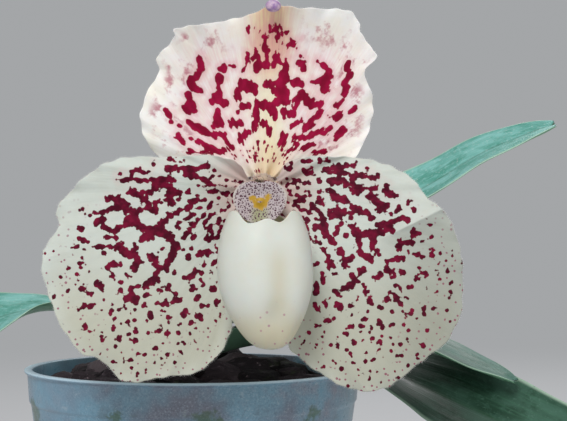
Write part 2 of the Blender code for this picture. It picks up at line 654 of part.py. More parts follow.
def make_staminode():
    """The shield in front of the column, dished, with a pointed lower end."""
    finish = material("staminode", (0.76, 0.7, 0.66), 0.5)
    edge = evenly(hermite(np.array(STAMINODE_OUTLINE) * MM, closed=True), 28, closed=True)
    flat, out, faces = disc_grid(edge, 4)
    forward = STAMINODE_FORWARD + 0.5 * MM + 0.9 * MM * out**2 - 0.08 * flat[:, 1]
    points = from_flower(flat[:, 0] + STAMINODE_SHIFT.x, flat[:, 1], forward)
    return solidify(object_from("staminode", points, faces, finish), 0.9 * MM)


def main():
    clear_scene()
    make_pot()
    make_bark()
    make_crown()
    make_roots()
    make_leaves()
    make_scape()
    make_ovary()
    make_bract()
    make_sepals_and_petals()
    make_lip()
    make_column()
    make_staminode()


main()
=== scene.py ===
"""The looks of a potted paphiopedilum: its spotted flower, mottled leaves and milky pot of bark.

Flower parts are laid out as right, up and forward from the point where they all meet, and are then
carried to that point. Lengths are metres unless a name or a comment says millimetres.
"""

import math
import random

import bpy
import numpy as np
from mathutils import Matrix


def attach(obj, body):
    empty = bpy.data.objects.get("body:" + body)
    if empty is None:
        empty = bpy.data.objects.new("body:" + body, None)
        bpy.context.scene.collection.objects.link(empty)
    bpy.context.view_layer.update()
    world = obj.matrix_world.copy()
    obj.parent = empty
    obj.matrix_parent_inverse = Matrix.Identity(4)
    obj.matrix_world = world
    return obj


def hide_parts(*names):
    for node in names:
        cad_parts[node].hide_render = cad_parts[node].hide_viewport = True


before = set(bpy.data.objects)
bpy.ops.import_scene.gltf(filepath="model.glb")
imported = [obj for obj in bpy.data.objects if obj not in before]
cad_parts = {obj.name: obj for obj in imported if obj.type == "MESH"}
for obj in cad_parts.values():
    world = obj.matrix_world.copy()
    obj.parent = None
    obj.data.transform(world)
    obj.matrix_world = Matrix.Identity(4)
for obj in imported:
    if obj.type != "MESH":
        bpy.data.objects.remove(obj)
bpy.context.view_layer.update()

bl_info = {
    "name": "Potted paphiopedilum",
    "version": (1, 0, 0),
    "blender": (4, 5, 0),
    "location": "3D Viewport > Sidebar > Orchid",
    "description": "Builds the pieces of a potted paphiopedilum and the studio round them",
    "category": "Add Mesh",
}

MM = 0.001
BODY = "root"
TURN = 2 * math.pi

# The camera's place across and up, its lens in mm and how many degrees it is turned up.
CAMERA_RIGHT = 20 * MM
CAMERA_HEIGHT = 94 * MM
CAMERA_LENS = 88.19
CAMERA_UPTURN = 1.09

# Each lamp's name, place, power in watts and width, and the place that all of them are turned to.
LAMPS = (
    ("key", (-0.12, -0.68, 0.6), 3.95, 0.3),
    ("fill", (0.7, -0.6, 0.4), 0.8, 0.5),
    ("rear", (0.25, 0.75, 0.7), 2.2, 0.4),
)
LAMP_AIM = (0.01, -0.02, 0.08)
SKY_COLOUR = (0.74, 0.76, 0.78, 1)
SKY_STRENGTH = 0.5

# Where the flower's parts meet.
FLOWER = np.array((16, -45, 103)) * MM
SEPAL_SEAT = 0.6 * MM
PETAL_SEAT = 1.8 * MM
PLANT = np.array((-8, 4, 0)) * MM

# Outlines of the flower parts: right, up, in mm.
DORSAL_OUTLINE = (
    (0, 2.5), (-9, 2.6), (-17, 4.4), (-21.4, 8.2), (-22.9, 13), (-21.6, 18.2), (-19.4, 22.4), (-19.7, 24.6),
    (-16.1, 28.3), (-16.4, 29.3), (-15.4, 29.7), (-9.6, 30.7), (-3.2, 32.2), (0.6, 33.4), (2.3, 35),
    (3.8, 33.6), (10, 33.2), (16, 32.8), (18.2, 30.5), (18.3, 28.9), (21.4, 24.8), (21, 23.9), (19.2, 22.1),
    (20.9, 16.3), (19.9, 10.4), (16.4, 5), (9, 2.8),
)
LEFT_PETAL_OUTLINE = (
    (-2.6, 1.2), (-4.2, 4.6), (-9, 6.3), (-18, 6), (-26.1, 5.7), (-31, 3.6), (-36, -0.8), (-38.3, -4.4),
    (-37.8, -7.4), (-40, -10.6), (-40.6, -15), (-39.4, -19.5), (-36.6, -25.6), (-33.2, -30.2),
    (-29.6, -31.8), (-26.4, -35.2), (-23.6, -35.9), (-17, -34.7), (-13.8, -34.6), (-9.6, -32.4),
    (-6.6, -28.5), (-5.2, -23), (-5.2, -15), (-4.2, -7), (-2.7, -1.8),
)
RIGHT_PETAL_OUTLINE = (
    (2.6, -1.8), (4.2, -8), (5, -16), (4.6, -23), (4.8, -29), (8.4, -32.6), (13.2, -35.8), (17.6, -37.5),
    (22.4, -37.1), (26.4, -34.4), (30, -31.4), (33.8, -28.3), (36.6, -23.3), (37.3, -17.4), (36.8, -11.6),
    (35, -6.4), (33, -3.5), (30.6, -1.9), (28.6, 1.2), (24.6, 4), (19.4, 5.7), (12, 6.2), (5.4, 5.4),
    (2.8, 2),
)
SYNSEPAL_OUTLINE = (
    (0, -2.5), (-3.4, -4.2), (-6.6, -9), (-7.4, -14.5), (-5, -19.4), (0, -22), (5, -19.4), (7.4, -14.5),
    (6.6, -9), (3.4, -4.2),
)
STAMINODE_OUTLINE = (
    (0, -6.8), (-2.6, -5.9), (-4.4, -3.8), (-4.9, -1.4), (-3.8, 0.4), (-1.6, 1.2), (0, 0.9), (1.6, 1.2),
    (3.8, 0.4), (4.9, -1.4), (4.4, -3.8), (2.6, -5.9),
)

# Blotches as strokes: the brush's radius, then right and up of each place it passes through, in mm.
LEFT_PETAL_BLOTCHES = (
    (0.5, -18, 4.2, -14.9, 3.8, -12.8, 3.9, -10.3, 4.5), (0.45, -17.2, 3.3),
    (0.6, -14.3, 2.9, -12.8, 2.6, -11.2, 1.8, -9.9, 1.1), (0.5, -12.8, 4, -13.3, 2.8), (0.35, -20.1, 4.6),
    (0.4, -24, 2.9, -23, 3.4, -21.6, 2.9), (0.4, -26.3, 2.7),
    (0.35, -26.8, 1.7, -25.1, 1.5, -23.7, 1.8, -20.3, 1.4), (0.6, -20, 1.5, -18.4, 1.7, -16.8, 1.5),
    (0.7, -20.2, 0.6, -18.6, 0.8, -17, 0.6), (0.75, -16.8, -0.2, -17.3, -1.8, -17, -2.4),
    (0.4, -16.2, -0.6, -15.1, -0.6), (0.6, -24.6, -0.6, -23.1, -1, -21.3, -0.7),
    (0.5, -28.9, -2, -27.4, -1.8, -26, -2, -25.3, -2.9), (0.6, -27, -3.2, -25.5, -3.5, -24.5, -4.6),
    (0.4, -31, -4.7, -29.5, -4.3, -27.8, -3.5), (0.42, -33.3, -4.1), (0.25, -31.9, -5),
    (0.55, -21.6, -1, -21.8, -2.4, -20.8, -3.6, -19.9, -4.1), (0.45, -19.1, -2, -19.9, -2.6, -20.3, -3.8),
    (0.5, -24.5, -4.5, -22.4, -4.1, -21.2, -3), (0.8, -24.9, -5.3, -24, -5.4, -23.5, -6.3),
    (0.45, -25.2, -6.4, -26.6, -7.2, -27.6, -8, -27.4, -9.2), (0.5, -28.9, -8.9, -27.3, -9.1),
    (0.5, -31.3, -6.3, -29.9, -5.8, -29.5, -6.8, -28.7, -7.5), (0.4, -33.7, -7.6),
    (0.3, -34.1, -9.1, -32.6, -9.9), (0.65, -23, -6.7, -22, -7.4, -20.3, -8.1, -19.1, -7.5),
    (0.8, -19.1, -7.3, -18.4, -8.3, -17.2, -9.2), (0.5, -18.9, -6.6, -18, -5.8, -17, -4.6),
    (0.4, -17, -4.4, -15.3, -4.1, -13.7, -3.4, -12.8, -2.4), (0.5, -22, -8.6, -22.2, -9.7, -20.8, -8.9),
    (0.65, -16.5, -10.3, -16, -11.2, -17, -12.4, -17.4, -13.6, -17.8, -14.7),
    (0.55, -20.7, -12.5, -19.9, -13.7, -19.1, -14.9, -19.7, -16.2, -21, -17.7, -21.6, -18.2),
    (0.6, -26.5, -10.6, -25.6, -11.6, -24.7, -12.6, -23.5, -12.4, -22.9, -13.7, -23.8, -14.8),
    (0.42, -23.7, -10.8, -24.1, -12), (0.32, -31.2, -10.8, -29.5, -10.7, -27.4, -11), (0.4, -29.5, -12),
    (0.22, -30.5, -12.6), (0.28, -35.3, -11, -34.1, -10.5), (0.5, -29, -14.5, -27.8, -14.1, -26.6, -14.2),
    (0.45, -24.9, -16.4), (0.35, -27.8, -16.5), (0.42, -26.1, -17.2), (0.42, -26.5, -19.1),
    (0.25, -28, -15.6), (0.55, -30.6, -17.9, -29.9, -18.5), (0.22, -30.5, -16.9), (0.6, -33, -18.6),
    (0.35, -31.9, -19.6), (0.38, -34.3, -15.9), (0.22, -33.6, -14.8), (0.25, -32.9, -13.7),
    (0.2, -33.9, -14), (0.4, -24.5, -20, -24.3, -18.6, -22.9, -18.2), (0.65, -25.2, -20.4, -23.4, -20.7),
    (0.4, -25.5, -21.8), (0.38, -22, -21.7), (0.4, -21.1, -19.6), (0.25, -21.9, -20), (0.5, -19, -18.8),
    (0.45, -17.3, -18.1, -17.5, -18.6), (0.45, -16.2, -19.4), (0.28, -19.2, -17.6), (0.4, -19.4, -21.1),
    (0.6, -18, -21.4), (0.4, -16.6, -21.3, -15.2, -20.6), (0.5, -20.7, -23.3, -20.9, -23.8),
    (0.28, -21.4, -24.3), (0.35, -23.6, -24.3), (0.38, -24.8, -24.3), (0.42, -27.5, -24.2),
    (0.45, -28.1, -23), (0.4, -27.6, -25.8), (0.28, -18.4, -23), (0.5, -17.4, -24.1), (0.32, -18.7, -25.3),
    (0.38, -32.8, -21.8, -31.4, -21.7), (0.32, -33.9, -22.4), (0.25, -29.3, -20.9), (0.22, -32.8, -25.2),
    (0.33, -32.3, -26, -31.4, -26.4), (0.2, -33.4, -26.2), (0.32, -29.6, -27.8, -29.1, -27.9),
    (0.5, -23.2, -26.6), (0.33, -20.8, -26.6), (0.45, -19.3, -26.5), (0.5, -17.5, -27.1),
    (0.35, -15.7, -26.7), (0.55, -14.4, -23.4, -14, -22.9), (0.45, -11.9, -23.8, -11.3, -24),
    (0.4, -13.4, -25.3, -12.9, -24.9), (0.4, -11.1, -21.8, -10.3, -21.9), (0.25, -12.5, -26),
    (0.36, -12.5, -28.2), (0.25, -13.3, -27.2), (0.3, -13.3, -29.6), (0.4, -7.8, -23.9),
    (0.25, -8.8, -24.6), (0.5, -8.5, -21.2), (0.55, -9.2, -18.9), (0.55, -12.2, -20.3), (0.5, -12.9, -18.6),
    (0.5, -10.9, -17.7), (0.25, -11.5, -17), (0.42, -14.6, -16.6), (0.5, -13.6, -16.9, -12.7, -15.5),
    (0.45, -11.3, -15.8), (0.35, -16.4, -15.6), (0.55, -13.9, -12.8), (0.45, -12.2, -12.4, -11.1, -11.9),
    (0.6, -9.9, -11.9), (0.4, -8.9, -10.8), (0.42, -9.3, -14.2), (0.3, -13.1, -11.3), (0.25, -15, -11.5),
    (0.38, -14.6, -9.1, -13.2, -7.2, -11.4, -5.3, -9.7, -2.9), (0.4, -13.2, -9.1, -12.9, -8.6),
    (0.38, -11, -6.6, -10.6, -5.8), (0.42, -10.2, -7.4, -9.6, -6.8), (0.38, -8.1, -7.8, -7.9, -7),
    (0.36, -13.4, -4.9, -12.9, -4.5), (0.36, -13.5, -2.4, -12.3, -2), (0.32, -10.9, -2),
    (0.35, -19.6, -29.6), (0.3, -26.6, -28, -26, -27.4), (0.35, -24, -28.2, -23.4, -28), (0.26, -21.6, -29),
    (0.28, -25.9, -30.2), (0.26, -24.3, -31.6), (0.26, -18.6, -31.5), (0.28, -17.4, -31),
    (0.26, -18.1, -32.5), (0.22, -27.5, -32.2), (0.24, -22.9, -30.7), (0.4, -9.3, -7.9),
    (0.35, -15.9, -6.6, -15.7, -7.2), (0.28, -18.9, -11.3, -18.4, -11),
)
RIGHT_PETAL_BLOTCHES = (
    (0.35, 7.6, 5.2, 9, 5.3), (0.38, 10.9, 5.3, 12.2, 5.4), (0.3, 5.5, 4.9), (0.38, 4.2, 4.1, 5.3, 3.8),
    (0.55, 8.1, 3.4, 9.2, 2.9), (0.5, 11.9, 3.8, 13.5, 4, 15.3, 4.2), (0.45, 15.8, 4.4, 17.4, 4.6),
    (0.5, 12.7, 3.1, 14.8, 3.3, 16.1, 3), (0.75, 13.3, 1.6, 14.7, 1.5), (0.45, 12.4, 1.6),
    (0.55, 15.6, 1.1, 16.6, 0.8, 17.2, 1.8), (0.45, 17.6, 2.6, 19.7, 2.3, 21.3, 2.2),
    (0.5, 17, -0.3, 18, -0.5), (0.45, 17.2, 0.3, 18.9, 0.1, 21.4, 0.2),
    (0.75, 13.2, -1, 14.3, -1.6, 15.5, -2.2), (0.33, 19.9, 3.9), (0.4, 23.5, 0.5, 23.2, -0.4),
    (0.55, 23.2, -0.9, 24.6, -1.3), (0.75, 20.3, -1.5, 21.4, -2.2, 22, -3.6, 22.9, -3.4),
    (0.3, 22.9, -4.2, 24, -4.5), (0.5, 25, -4.2, 25.3, -3.7), (0.3, 27.2, -2.2), (0.28, 27, -3.2, 28.2, -4),
    (0.35, 29.9, -5.3), (0.5, 21.9, -6.7, 23.1, -7.4, 24.2, -8.2), (0.45, 22.8, -6.4, 24.3, -6.2, 26, -5.5),
    (0.6, 26.1, -5.6, 27, -6.2), (0.5, 13, -3.9, 14.8, -4.1, 16.4, -4.5, 16.7, -5.2),
    (0.45, 14.2, -3.1, 14.6, -3.9), (0.75, 13, -4.9, 14, -4.8),
    (0.55, 16.8, -3.5, 18.1, -3.9, 19.5, -4.5, 20.4, -5.4), (0.5, 10.6, -1.9, 11.5, -2.9),
    (0.5, 6.9, -1.3, 7.5, -2.1), (0.42, 9.1, -3, 10.9, -4.5, 11.4, -5.7), (0.35, 8.1, -3.7, 8.9, -4.4),
    (0.6, 9.9, -7.1, 11.4, -6.7, 12, -7.2), (0.55, 11.5, -8, 12.8, -9.6, 13.6, -10.4),
    (0.4, 15, -6.5, 14.1, -7.2, 13.5, -8.4), (0.75, 17, -7.3, 17.7, -8.2, 18.6, -8.5),
    (0.5, 18.8, -8.3, 21, -8.5, 22.6, -8), (0.55, 18.3, -9, 18.1, -10.4), (0.65, 20.6, -9.5, 20.5, -11),
    (0.4, 20.8, -11.3, 21.8, -12.1), (0.5, 15.8, -8.8), (0.5, 14.3, -11.2, 15.2, -12.8, 15.7, -14.3),
    (0.55, 16.7, -12.6, 15.8, -13.6), (0.55, 17.8, -11.8, 19.3, -12.6, 20.4, -13.4),
    (0.5, 25.6, -9.9, 27.7, -9.9), (0.4, 25.7, -10.4, 25.5, -11.3), (0.45, 27.8, -8, 29, -8.4, 28, -8.8),
    (0.4, 27.3, -12), (0.3, 28, -12.2, 29.7, -12.4), (0.3, 31.6, -11.4, 31.5, -12.8), (0.3, 31.3, -9.2),
    (0.22, 31, -6.9), (0.28, 29.6, -9.8), (0.45, 23.5, -13.5, 25, -13.2, 26, -12.8),
    (0.55, 23.2, -15, 24.5, -15.5), (0.4, 24.6, -16.5), (0.5, 26.1, -15.5), (0.6, 21.4, -16.5, 22, -16),
    (0.5, 18.2, -15.4, 19.2, -15.2), (0.5, 17, -15.8, 17.5, -17.3, 16, -18.2, 15.6, -18.4),
    (0.4, 11.5, -11.3, 12.1, -12.8, 12.4, -14.5), (0.55, 13.4, -14.4), (0.35, 13.8, -15.9),
    (0.42, 11.2, -15.8, 11.4, -17.6), (0.6, 10.3, -18.2, 10.4, -19.2), (0.45, 9.2, -14.3),
    (0.4, 8.7, -8.7, 9.2, -9.4), (0.35, 10.1, -9.3, 10.5, -9.9), (0.33, 8, -6.6, 8.4, -7.4),
    (0.35, 10.4, -13.8), (0.33, 18.9, -18.2, 19.4, -19.3), (0.5, 19.9, -20.4, 20.1, -21.3),
    (0.42, 13.8, -19, 14.3, -19.8), (0.55, 14.2, -21.7, 14.7, -22.2), (0.4, 11.8, -21.4),
    (0.28, 12.4, -20.6), (0.42, 10, -21.6, 10.6, -22.8), (0.26, 16.3, -21.7, 17, -21.8),
    (0.38, 17.8, -20.4), (0.6, 23.1, -20.6), (0.4, 24.9, -19.8, 25.3, -20.9), (0.5, 25.7, -21.4),
    (0.28, 23.5, -19.4), (0.32, 25, -17.8), (0.32, 25.7, -18.8), (0.5, 27.6, -18.3), (0.5, 27.8, -22.8),
    (0.32, 28.7, -16.7), (0.4, 29.5, -15.8, 30.3, -15.9), (0.33, 29.1, -14.5), (0.28, 30.1, -22.2),
    (0.33, 30.2, -23.5), (0.22, 31.8, -22), (0.22, 30.6, -18.7), (0.3, 28.7, -21), (0.3, 24.3, -23),
    (0.33, 22, -22.1), (0.55, 12.2, -24.3), (0.3, 13.3, -24.2), (0.5, 15.3, -26.9),
    (0.4, 15.6, -26, 17, -25.9), (0.38, 21.8, -24.6, 22.4, -25.7), (0.33, 24, -25.3), (0.42, 26.4, -25.4),
    (0.36, 26.9, -26.4), (0.36, 17.9, -23.1), (0.3, 16.4, -23.8), (0.36, 19.2, -24.4), (0.3, 18.5, -25.6),
    (0.22, 18.6, -26.6), (0.4, 8.7, -26.8), (0.3, 7.7, -28.8), (0.3, 10.3, -29.3), (0.36, 10.3, -25.5),
    (0.3, 12.7, -29.2), (0.36, 20.3, -28), (0.3, 21.9, -28.4), (0.2, 22.2, -27.3), (0.38, 25.6, -29),
    (0.42, 29.6, -28.9), (0.33, 30.5, -26.4), (0.33, 28.5, -31), (0.22, 27.6, -30.8), (0.32, 21.4, -30),
    (0.25, 24, -30.1), (0.3, 18.6, -28.5), (0.25, 17.2, -28.6), (0.22, 16.1, -28.6), (0.3, 16.5, -30.8),
    (0.25, 15.7, -29.9), (0.3, 19.6, -30.5), (0.25, 23.2, -32), (0.25, 19.2, -32), (0.22, 17.8, -33.4),
    (0.3, 14.8, -33.4), (0.25, 13.4, -32.3), (0.22, 11.5, -33.4), (0.22, 10.5, -32.1), (0.22, 22.4, -30.9),
    (0.22, 24.9, -31), (0.2, 24.5, -33.9), (0.2, 22.2, -35.5), (0.22, 26, -31.1),
)
DORSAL_BLOTCHES = (
    (0.45, -11.8, 24.4, -11.3, 23.7, -11.9, 21.9, -13.3, 20.4, -13.1, 19.1, -12.2, 18.6),
    (0.45, -14, 18, -13.8, 16.7, -14.3, 15.5, -13.1, 14.9), (0.4, -13.4, 16.4, -13.2, 15.6),
    (0.45, -14, 12.7, -12.3, 11.6, -11, 11, -9, 10.4, -7.4, 10.3, -6.9, 9.1, -6.1, 8.1),
    (0.5, -16, 9.9, -15.2, 9.1), (0.25, -13.5, 9.7), (0.42, -12.2, 9.3, -10.3, 8.6, -8.7, 7.3),
    (0.4, -9.4, 7.4, -7.4, 7.5), (0.33, -13.7, 7.3, -12.3, 7, -10.8, 7.3), (0.3, -5.3, 23.2, -6.3, 23.3),
    (0.5, -7.5, 22.6, -7.2, 23), (0.5, -8, 21.2, -8.3, 20.4), (0.4, -8.2, 20.6, -8.5, 19.3),
    (0.7, -8.5, 18, -8.2, 16.9, -7.5, 16.6), (0.5, -9.5, 16.7),
    (0.42, -8.4, 15.2, -8.6, 13.8, -7.6, 12.6, -9.4, 12.1), (0.6, -5.7, 12.7, -4.5, 12.7),
    (0.5, -4.1, 9.6, -3.5, 10.6, -2.9, 11), (0.35, -2.6, 25.4, -2.8, 24, -3.4, 22.6),
    (0.5, -4, 20.1, -2.3, 20.1, -1.1, 19.7), (0.55, -4.5, 18.8, -4.4, 17.6), (0.5, -3.1, 19, -1.5, 18.8),
    (0.55, -4, 15.7, -2.8, 16), (0.4, -4.6, 14.9), (0.33, -0.6, 25, -1, 22.5), (0.3, -2, 24.8, -0.6, 24.9),
    (0.33, 0.9, 25, 0.7, 23.2), (0.5, 0.5, 20, 2.6, 20.2), (0.7, 3, 20.1, 4.3, 21, 3.7, 21.9),
    (0.85, 3.1, 18.8, 4.3, 18.6), (0.6, 3.6, 17.3, 4.4, 17), (0.45, 2.2, 25, 3, 24.1, 4.3, 23.4),
    (0.4, 4.4, 24.6, 4.2, 22.6), (0.4, 2.4, 24, 2.4, 23.2), (0.65, -0.6, 16.2, 1.2, 16.1, 2.6, 16.5),
    (0.5, -1.2, 16.4, -1.3, 14.6, -1.6, 14.2), (0.4, -1, 13.6, -1.5, 11.8),
    (0.5, 0.6, 15.6, 2.2, 15.2, 2.4, 13.8), (0.42, 0.2, 13, 0.9, 12, 1.2, 10.9),
    (0.35, 3.9, 14.9, 4.1, 13.7), (0.42, 5.6, 20.4, 6, 19.9), (0.4, 6.9, 20.7, 7.4, 20),
    (0.4, 7.5, 22.6, 7.3, 23.8), (0.2, 7.4, 25), (0.55, 6.4, 17.2, 7.7, 17.7), (0.4, 7.4, 18.3, 7.9, 17.8),
    (0.6, 8.4, 16.6, 9.2, 16.3), (0.55, 5.2, 14.4, 5.9, 14.4), (0.4, 6.2, 15.6, 6.6, 16.4),
    (0.35, 5.4, 12.3, 6.3, 12.5, 7.4, 13), (0.5, 3.3, 8.8, 3.9, 9.6, 4.1, 10.3), (0.5, 5.8, 10, 7.6, 10),
    (0.42, 6.2, 9.1, 6.6, 8.6), (0.35, 7.9, 9.7, 9.4, 10), (0.3, 8, 8, 9, 8.5, 10, 8.7),
    (0.22, 5, 7.5, 6.4, 7.8), (0.55, 8.2, 11.6, 9.3, 12.4), (0.5, 9.3, 13.2, 10.6, 14.2),
    (0.3, 10.8, 14.5, 11.2, 14.7), (0.42, 9.5, 10.6, 11.7, 11), (0.35, 11.9, 11, 12.8, 11.8),
    (0.35, 10.2, 7.1, 11.6, 7.6), (0.4, 9.6, 20.3, 11.3, 20.4), (0.6, 11.8, 20.4, 12.5, 21.4),
    (0.5, 12.4, 20, 11.7, 18.4), (0.55, 10.5, 16.2, 11.2, 16.6), (0.3, 10.4, 23.9, 11.6, 23.2, 12.3, 22.6),
    (0.4, 12.7, 22.3), (0.5, 16.4, 21.2, 15.7, 20), (0.45, 15.8, 19.6, 15.4, 17.8),
    (0.42, 15.2, 16.8, 14.2, 15.6), (0.33, 16.3, 23.8, 16, 22.4), (0.38, 14.6, 14.4, 13.7, 13.4),
    (0.25, 12.7, 13.6, 13.4, 13.9), (0.42, 15.3, 11.5, 14.8, 10.4, 13.7, 9.5),
    (0.3, 17.2, 15.5, 16.7, 14.5), (0.36, -18, 14.9, -17.5, 13.8), (0.28, -17.4, 12.7), (0.22, -15.6, 12),
    (0.12, 4.6, 27, 6.2, 27.6), (0.12, 6, 26.8, 7, 28), (0.2, 0.3, 26.3, 0.5, 27.2), (0.22, 1.4, 26.2),
    (0.22, 2.4, 26), (0.2, 0.2, 28.6), (0.16, 1.3, 29.4), (0.16, 2.4, 29.9), (0.18, 3.1, 28.4),
    (0.16, -1.4, 27.6), (0.3, -0.8, 9.2), (0.2, 1, 8.5), (0.25, -0.9, 3.7),
)

# The leaves: centre line in mm, width in mm, roll and fold in degrees, and how dark a leaf is.
LEAVES = {
    "leaf_low_right": (
        ((0.4, 2.8, 66.9), (16, 1, 70.5), (30, -2.5, 69.3), (38, -5.5, 66.9), (45, -8, 63.3),
         (54, -11, 59.6), (68.7, -17, 53.4), (80, -21, 48.6), (97, -27, 41)),
        26, -28, 13, 1.0,
    ),
    "leaf_mid_right": (
        ((-0.8, 4.2, 71.4), (14, 4, 76.6), (28, 0.5, 76.9), (41, -4, 74), (50, -7, 70.9), (57.5, -9.5, 67.8),
         (69.5, -13.5, 63)),
        17, -6, 10, 0.82,
    ),
    "leaf_high_right": (
        ((-3.8, 4.8, 76.4), (8, 7, 84.8), (28, 8.8, 93.8), (52, 9.5, 104.8), (67, 8.5, 113.6),
         (82, 6.5, 119.6)),
        18, -26, 12, 0.1,
    ),
    "leaf_left": (
        ((-15.6, 4.6, 70.4), (-23, 4.5, 75), (-31, 3, 77.8), (-42, 1.5, 76.2), (-55, -1, 70.8),
         (-71, -3, 61)),
        20, 32, 12, 0.15,
    ),
    "leaf_young": (
        ((-13.7, 4.8, 76.8), (-16, 7.2, 86), (-19, 8.6, 97), (-24, 8.4, 105.5)),
        11, 18, 26, 0.1,
    ),
}
LEAF_THICKNESS = 1.1 * MM
LEAF_NOTCH = 1.8 * MM
SCAPE_LINE = ((-7.3, 0.1, 76.6), (-4.6, -4, 80.2), (3.5, -14, 87), (12.4, -24.8, 94))
OVARY_LINE = ((13, -25.5, 94.4), (14.4, -30.5, 98), (15.5, -36, 101.2), (16, -41, 102.8), (16, -44.6, 103))

# The lip's pouch: half its width at each height, from the tip up, in mm.
POUCH_PROFILE = (
    (0, -29.3), (2.3, -28.8), (4.1, -27.4), (5.8, -24.9), (7.3, -21.8), (8.4, -18), (8.6, -14.2),
    (8.2, -10), (7.4, -6.6),
)
POUCH_RIGHT = 0.6 * MM
POUCH_FORWARD = 17.2 * MM
POUCH_WALL = 0.8 * MM

# The hood over the column: right, up and forward in mm.
HOOD_MIDDLE = (-0.3, -0.6, 9.9)
HOOD_RADII = (4.2, 2.3, 2.7)

# The pot and its bark.
POT_HEIGHT = 65 * MM
POT_LIP_RADIUS = 37.5 * MM
POT_BAND_RADIUS = 36.8 * MM
POT_STEP = 0.8 * MM
POT_STEP_HEIGHT = 57.5 * MM
POT_BASE_RADIUS = 28 * MM
POT_WALL = 1.1 * MM
POT_LIP_DEPTH = 1.3 * MM
POT_FLOOR = 1.4 * MM
POT_ROUNDING = 0.35 * MM
SLOT_COUNT = 8
SLOT_WIDTH = 3.4 * MM
SLOT_HEIGHT = 6 * MM
SLOT_INNER_RADIUS = 22 * MM
BED_EDGE_HEIGHT = 58.5 * MM
BED_CROWN_HEIGHT = 64 * MM
CHUNK_COUNT = 46
CHUNK_SPREAD = 31.5 * MM
CHUNK_SIZE = (4.2 * MM, 6.6 * MM)
CHUNK_FLATNESS = 0.6
CRUMB_COUNT = 150
CRUMB_SPREAD = 33 * MM
CRUMB_SIZE = (1.6 * MM, 3.8 * MM)
CRUMB_SINK = 0.9 * MM
BED_SINK = 2.2 * MM
HOLE_RADIUS = (8.5 * MM, 6 * MM)
CROWN_BOTTOM = 60.3 * MM
CROWN_TOP = 80 * MM
# Share of the crown's height, half its width and half its depth in mm.
CROWN_SECTIONS = (
    (0, 5.8, 3.8), (0.1, 7.2, 4.6), (0.36, 7.6, 4.8), (0.55, 6.6, 4.2), (0.72, 4.6, 3.3), (0.88, 3, 2.4),
    (1, 1.9, 1.6),
)


def srgb(red, green, blue):
    """A colour given in 0 to 255 display steps, as linear values."""
    steps = np.array((red, green, blue)) / 255
    linear = np.where(steps <= 0.04045, steps / 12.92, ((steps + 0.055) / 1.055) ** 2.4)
    return (*(float(v) for v in linear), 1.0)


def smooth(low, high, value):
    """0 below low, 1 above high, and an S-curve between them."""
    t = np.clip((value - low) / (high - low), 0, 1)
    return t * t * (3 - 2 * t)


def bell(value, middle, width):
    """1 at the middle, falling to exp(-1) a width away."""
    return np.exp(-(((value - middle) / width) ** 2))


def hermite(points, closed, steps=16):
    """A smooth line through the points: a cubic on each span, with slopes that suit uneven spacing."""
    p = np.array(points, float)
    before = np.roll(p, 1, axis=0)
    after = np.roll(p, -1, axis=0)
    if not closed:
        before[0] = 2 * p[0] - p[1]
        after[-1] = 2 * p[-1] - p[-2]
    span_in = np.linalg.norm(p - before, axis=1, keepdims=True)
    span_out = np.linalg.norm(after - p, axis=1, keepdims=True)
    slope = (after - before) / (span_in + span_out)
    count = len(p) if closed else len(p) - 1
    t = np.linspace(0, 1, steps, endpoint=False)[None, :, None]
    a, b = p[:count, None], np.roll(p, -1, axis=0)[:count, None]
    m, n = ((each * span_out)[:count, None] for each in (slope, np.roll(slope, -1, axis=0)))
    rise = 3 * t**2 - 2 * t**3
    line = a * (1 - rise) + m * (t**3 - 2 * t**2 + t) + b * rise + n * (t**3 - t**2)
    return np.vstack([line.reshape(-1, p.shape[1]), p[:1] if closed else p[-1:]])


def evenly(line, count, closed=False):
    """count points at equal distances along a line."""
    run = np.concatenate([[0], np.cumsum(np.linalg.norm(np.diff(line, axis=0), axis=1))])
    at = np.linspace(0, run[-1], count, endpoint=not closed)
    return np.stack([np.interp(at, run, line[:, k]) for k in range(line.shape[1])], axis=1)


def curve(points, count, closed=False, steps=16):
    """count evenly spaced places on a smooth line through points given in mm."""
    return evenly(hermite(np.array(points) * MM, closed, steps), count, closed)


def along(line, share):
    """The places on an evenly spaced line at shares of its length, which may run a little past its ends."""
    at = np.linspace(0, 1, len(line))
    return np.stack([np.interp(share, at, line[:, k]) for k in range(line.shape[1])], axis=-1)


def grid_faces(rows, columns, closed=False, start=0):
    """Quads of a grid of rows by columns, whose last column meets its first if closed."""
    r = np.arange(rows - 1)[:, None]
    c = np.arange(columns if closed else columns - 1)[None, :]
    a = start + r * columns + c
    b = start + r * columns + (c + 1) % columns
    return np.stack([a, b, b + columns, a + columns], axis=-1).reshape(-1, 4)


def fan_faces(hub, first, count):
    """Triangles from a hub to a ring of count points that starts at first."""
    i = np.arange(count)
    return np.stack([np.full(count, hub), first + i, first + (i + 1) % count], axis=-1)


def capped(rows, around):
    """Faces of a tube of rows of points, with a fan at each end onto the two points that follow them."""
    last = rows * around
    return [
        grid_faces(rows, around, closed=True),
        fan_faces(last, 0, around)[:, ::-1],
        fan_faces(last + 1, last - around, around),
    ]


def shell_faces(front_rows, back_rows, around):
    """Faces of a front and a back that meet at a rim. Each is rows of points outwards, then its middle."""
    start = front_rows * around + 1
    rim_front = start - 1 - around + np.arange(around)
    rim_back = start + (back_rows - 1) * around + np.arange(around)
    return [
        grid_faces(front_rows, around, closed=True)[:, ::-1],
        grid_faces(back_rows, around, closed=True, start=start),
        np.stack([rim_back, np.roll(rim_back, -1), np.roll(rim_front, -1), rim_front], axis=-1),
        fan_faces(start - 1, 0, around),
        fan_faces(start + back_rows * around, start, around)[:, ::-1],
    ]


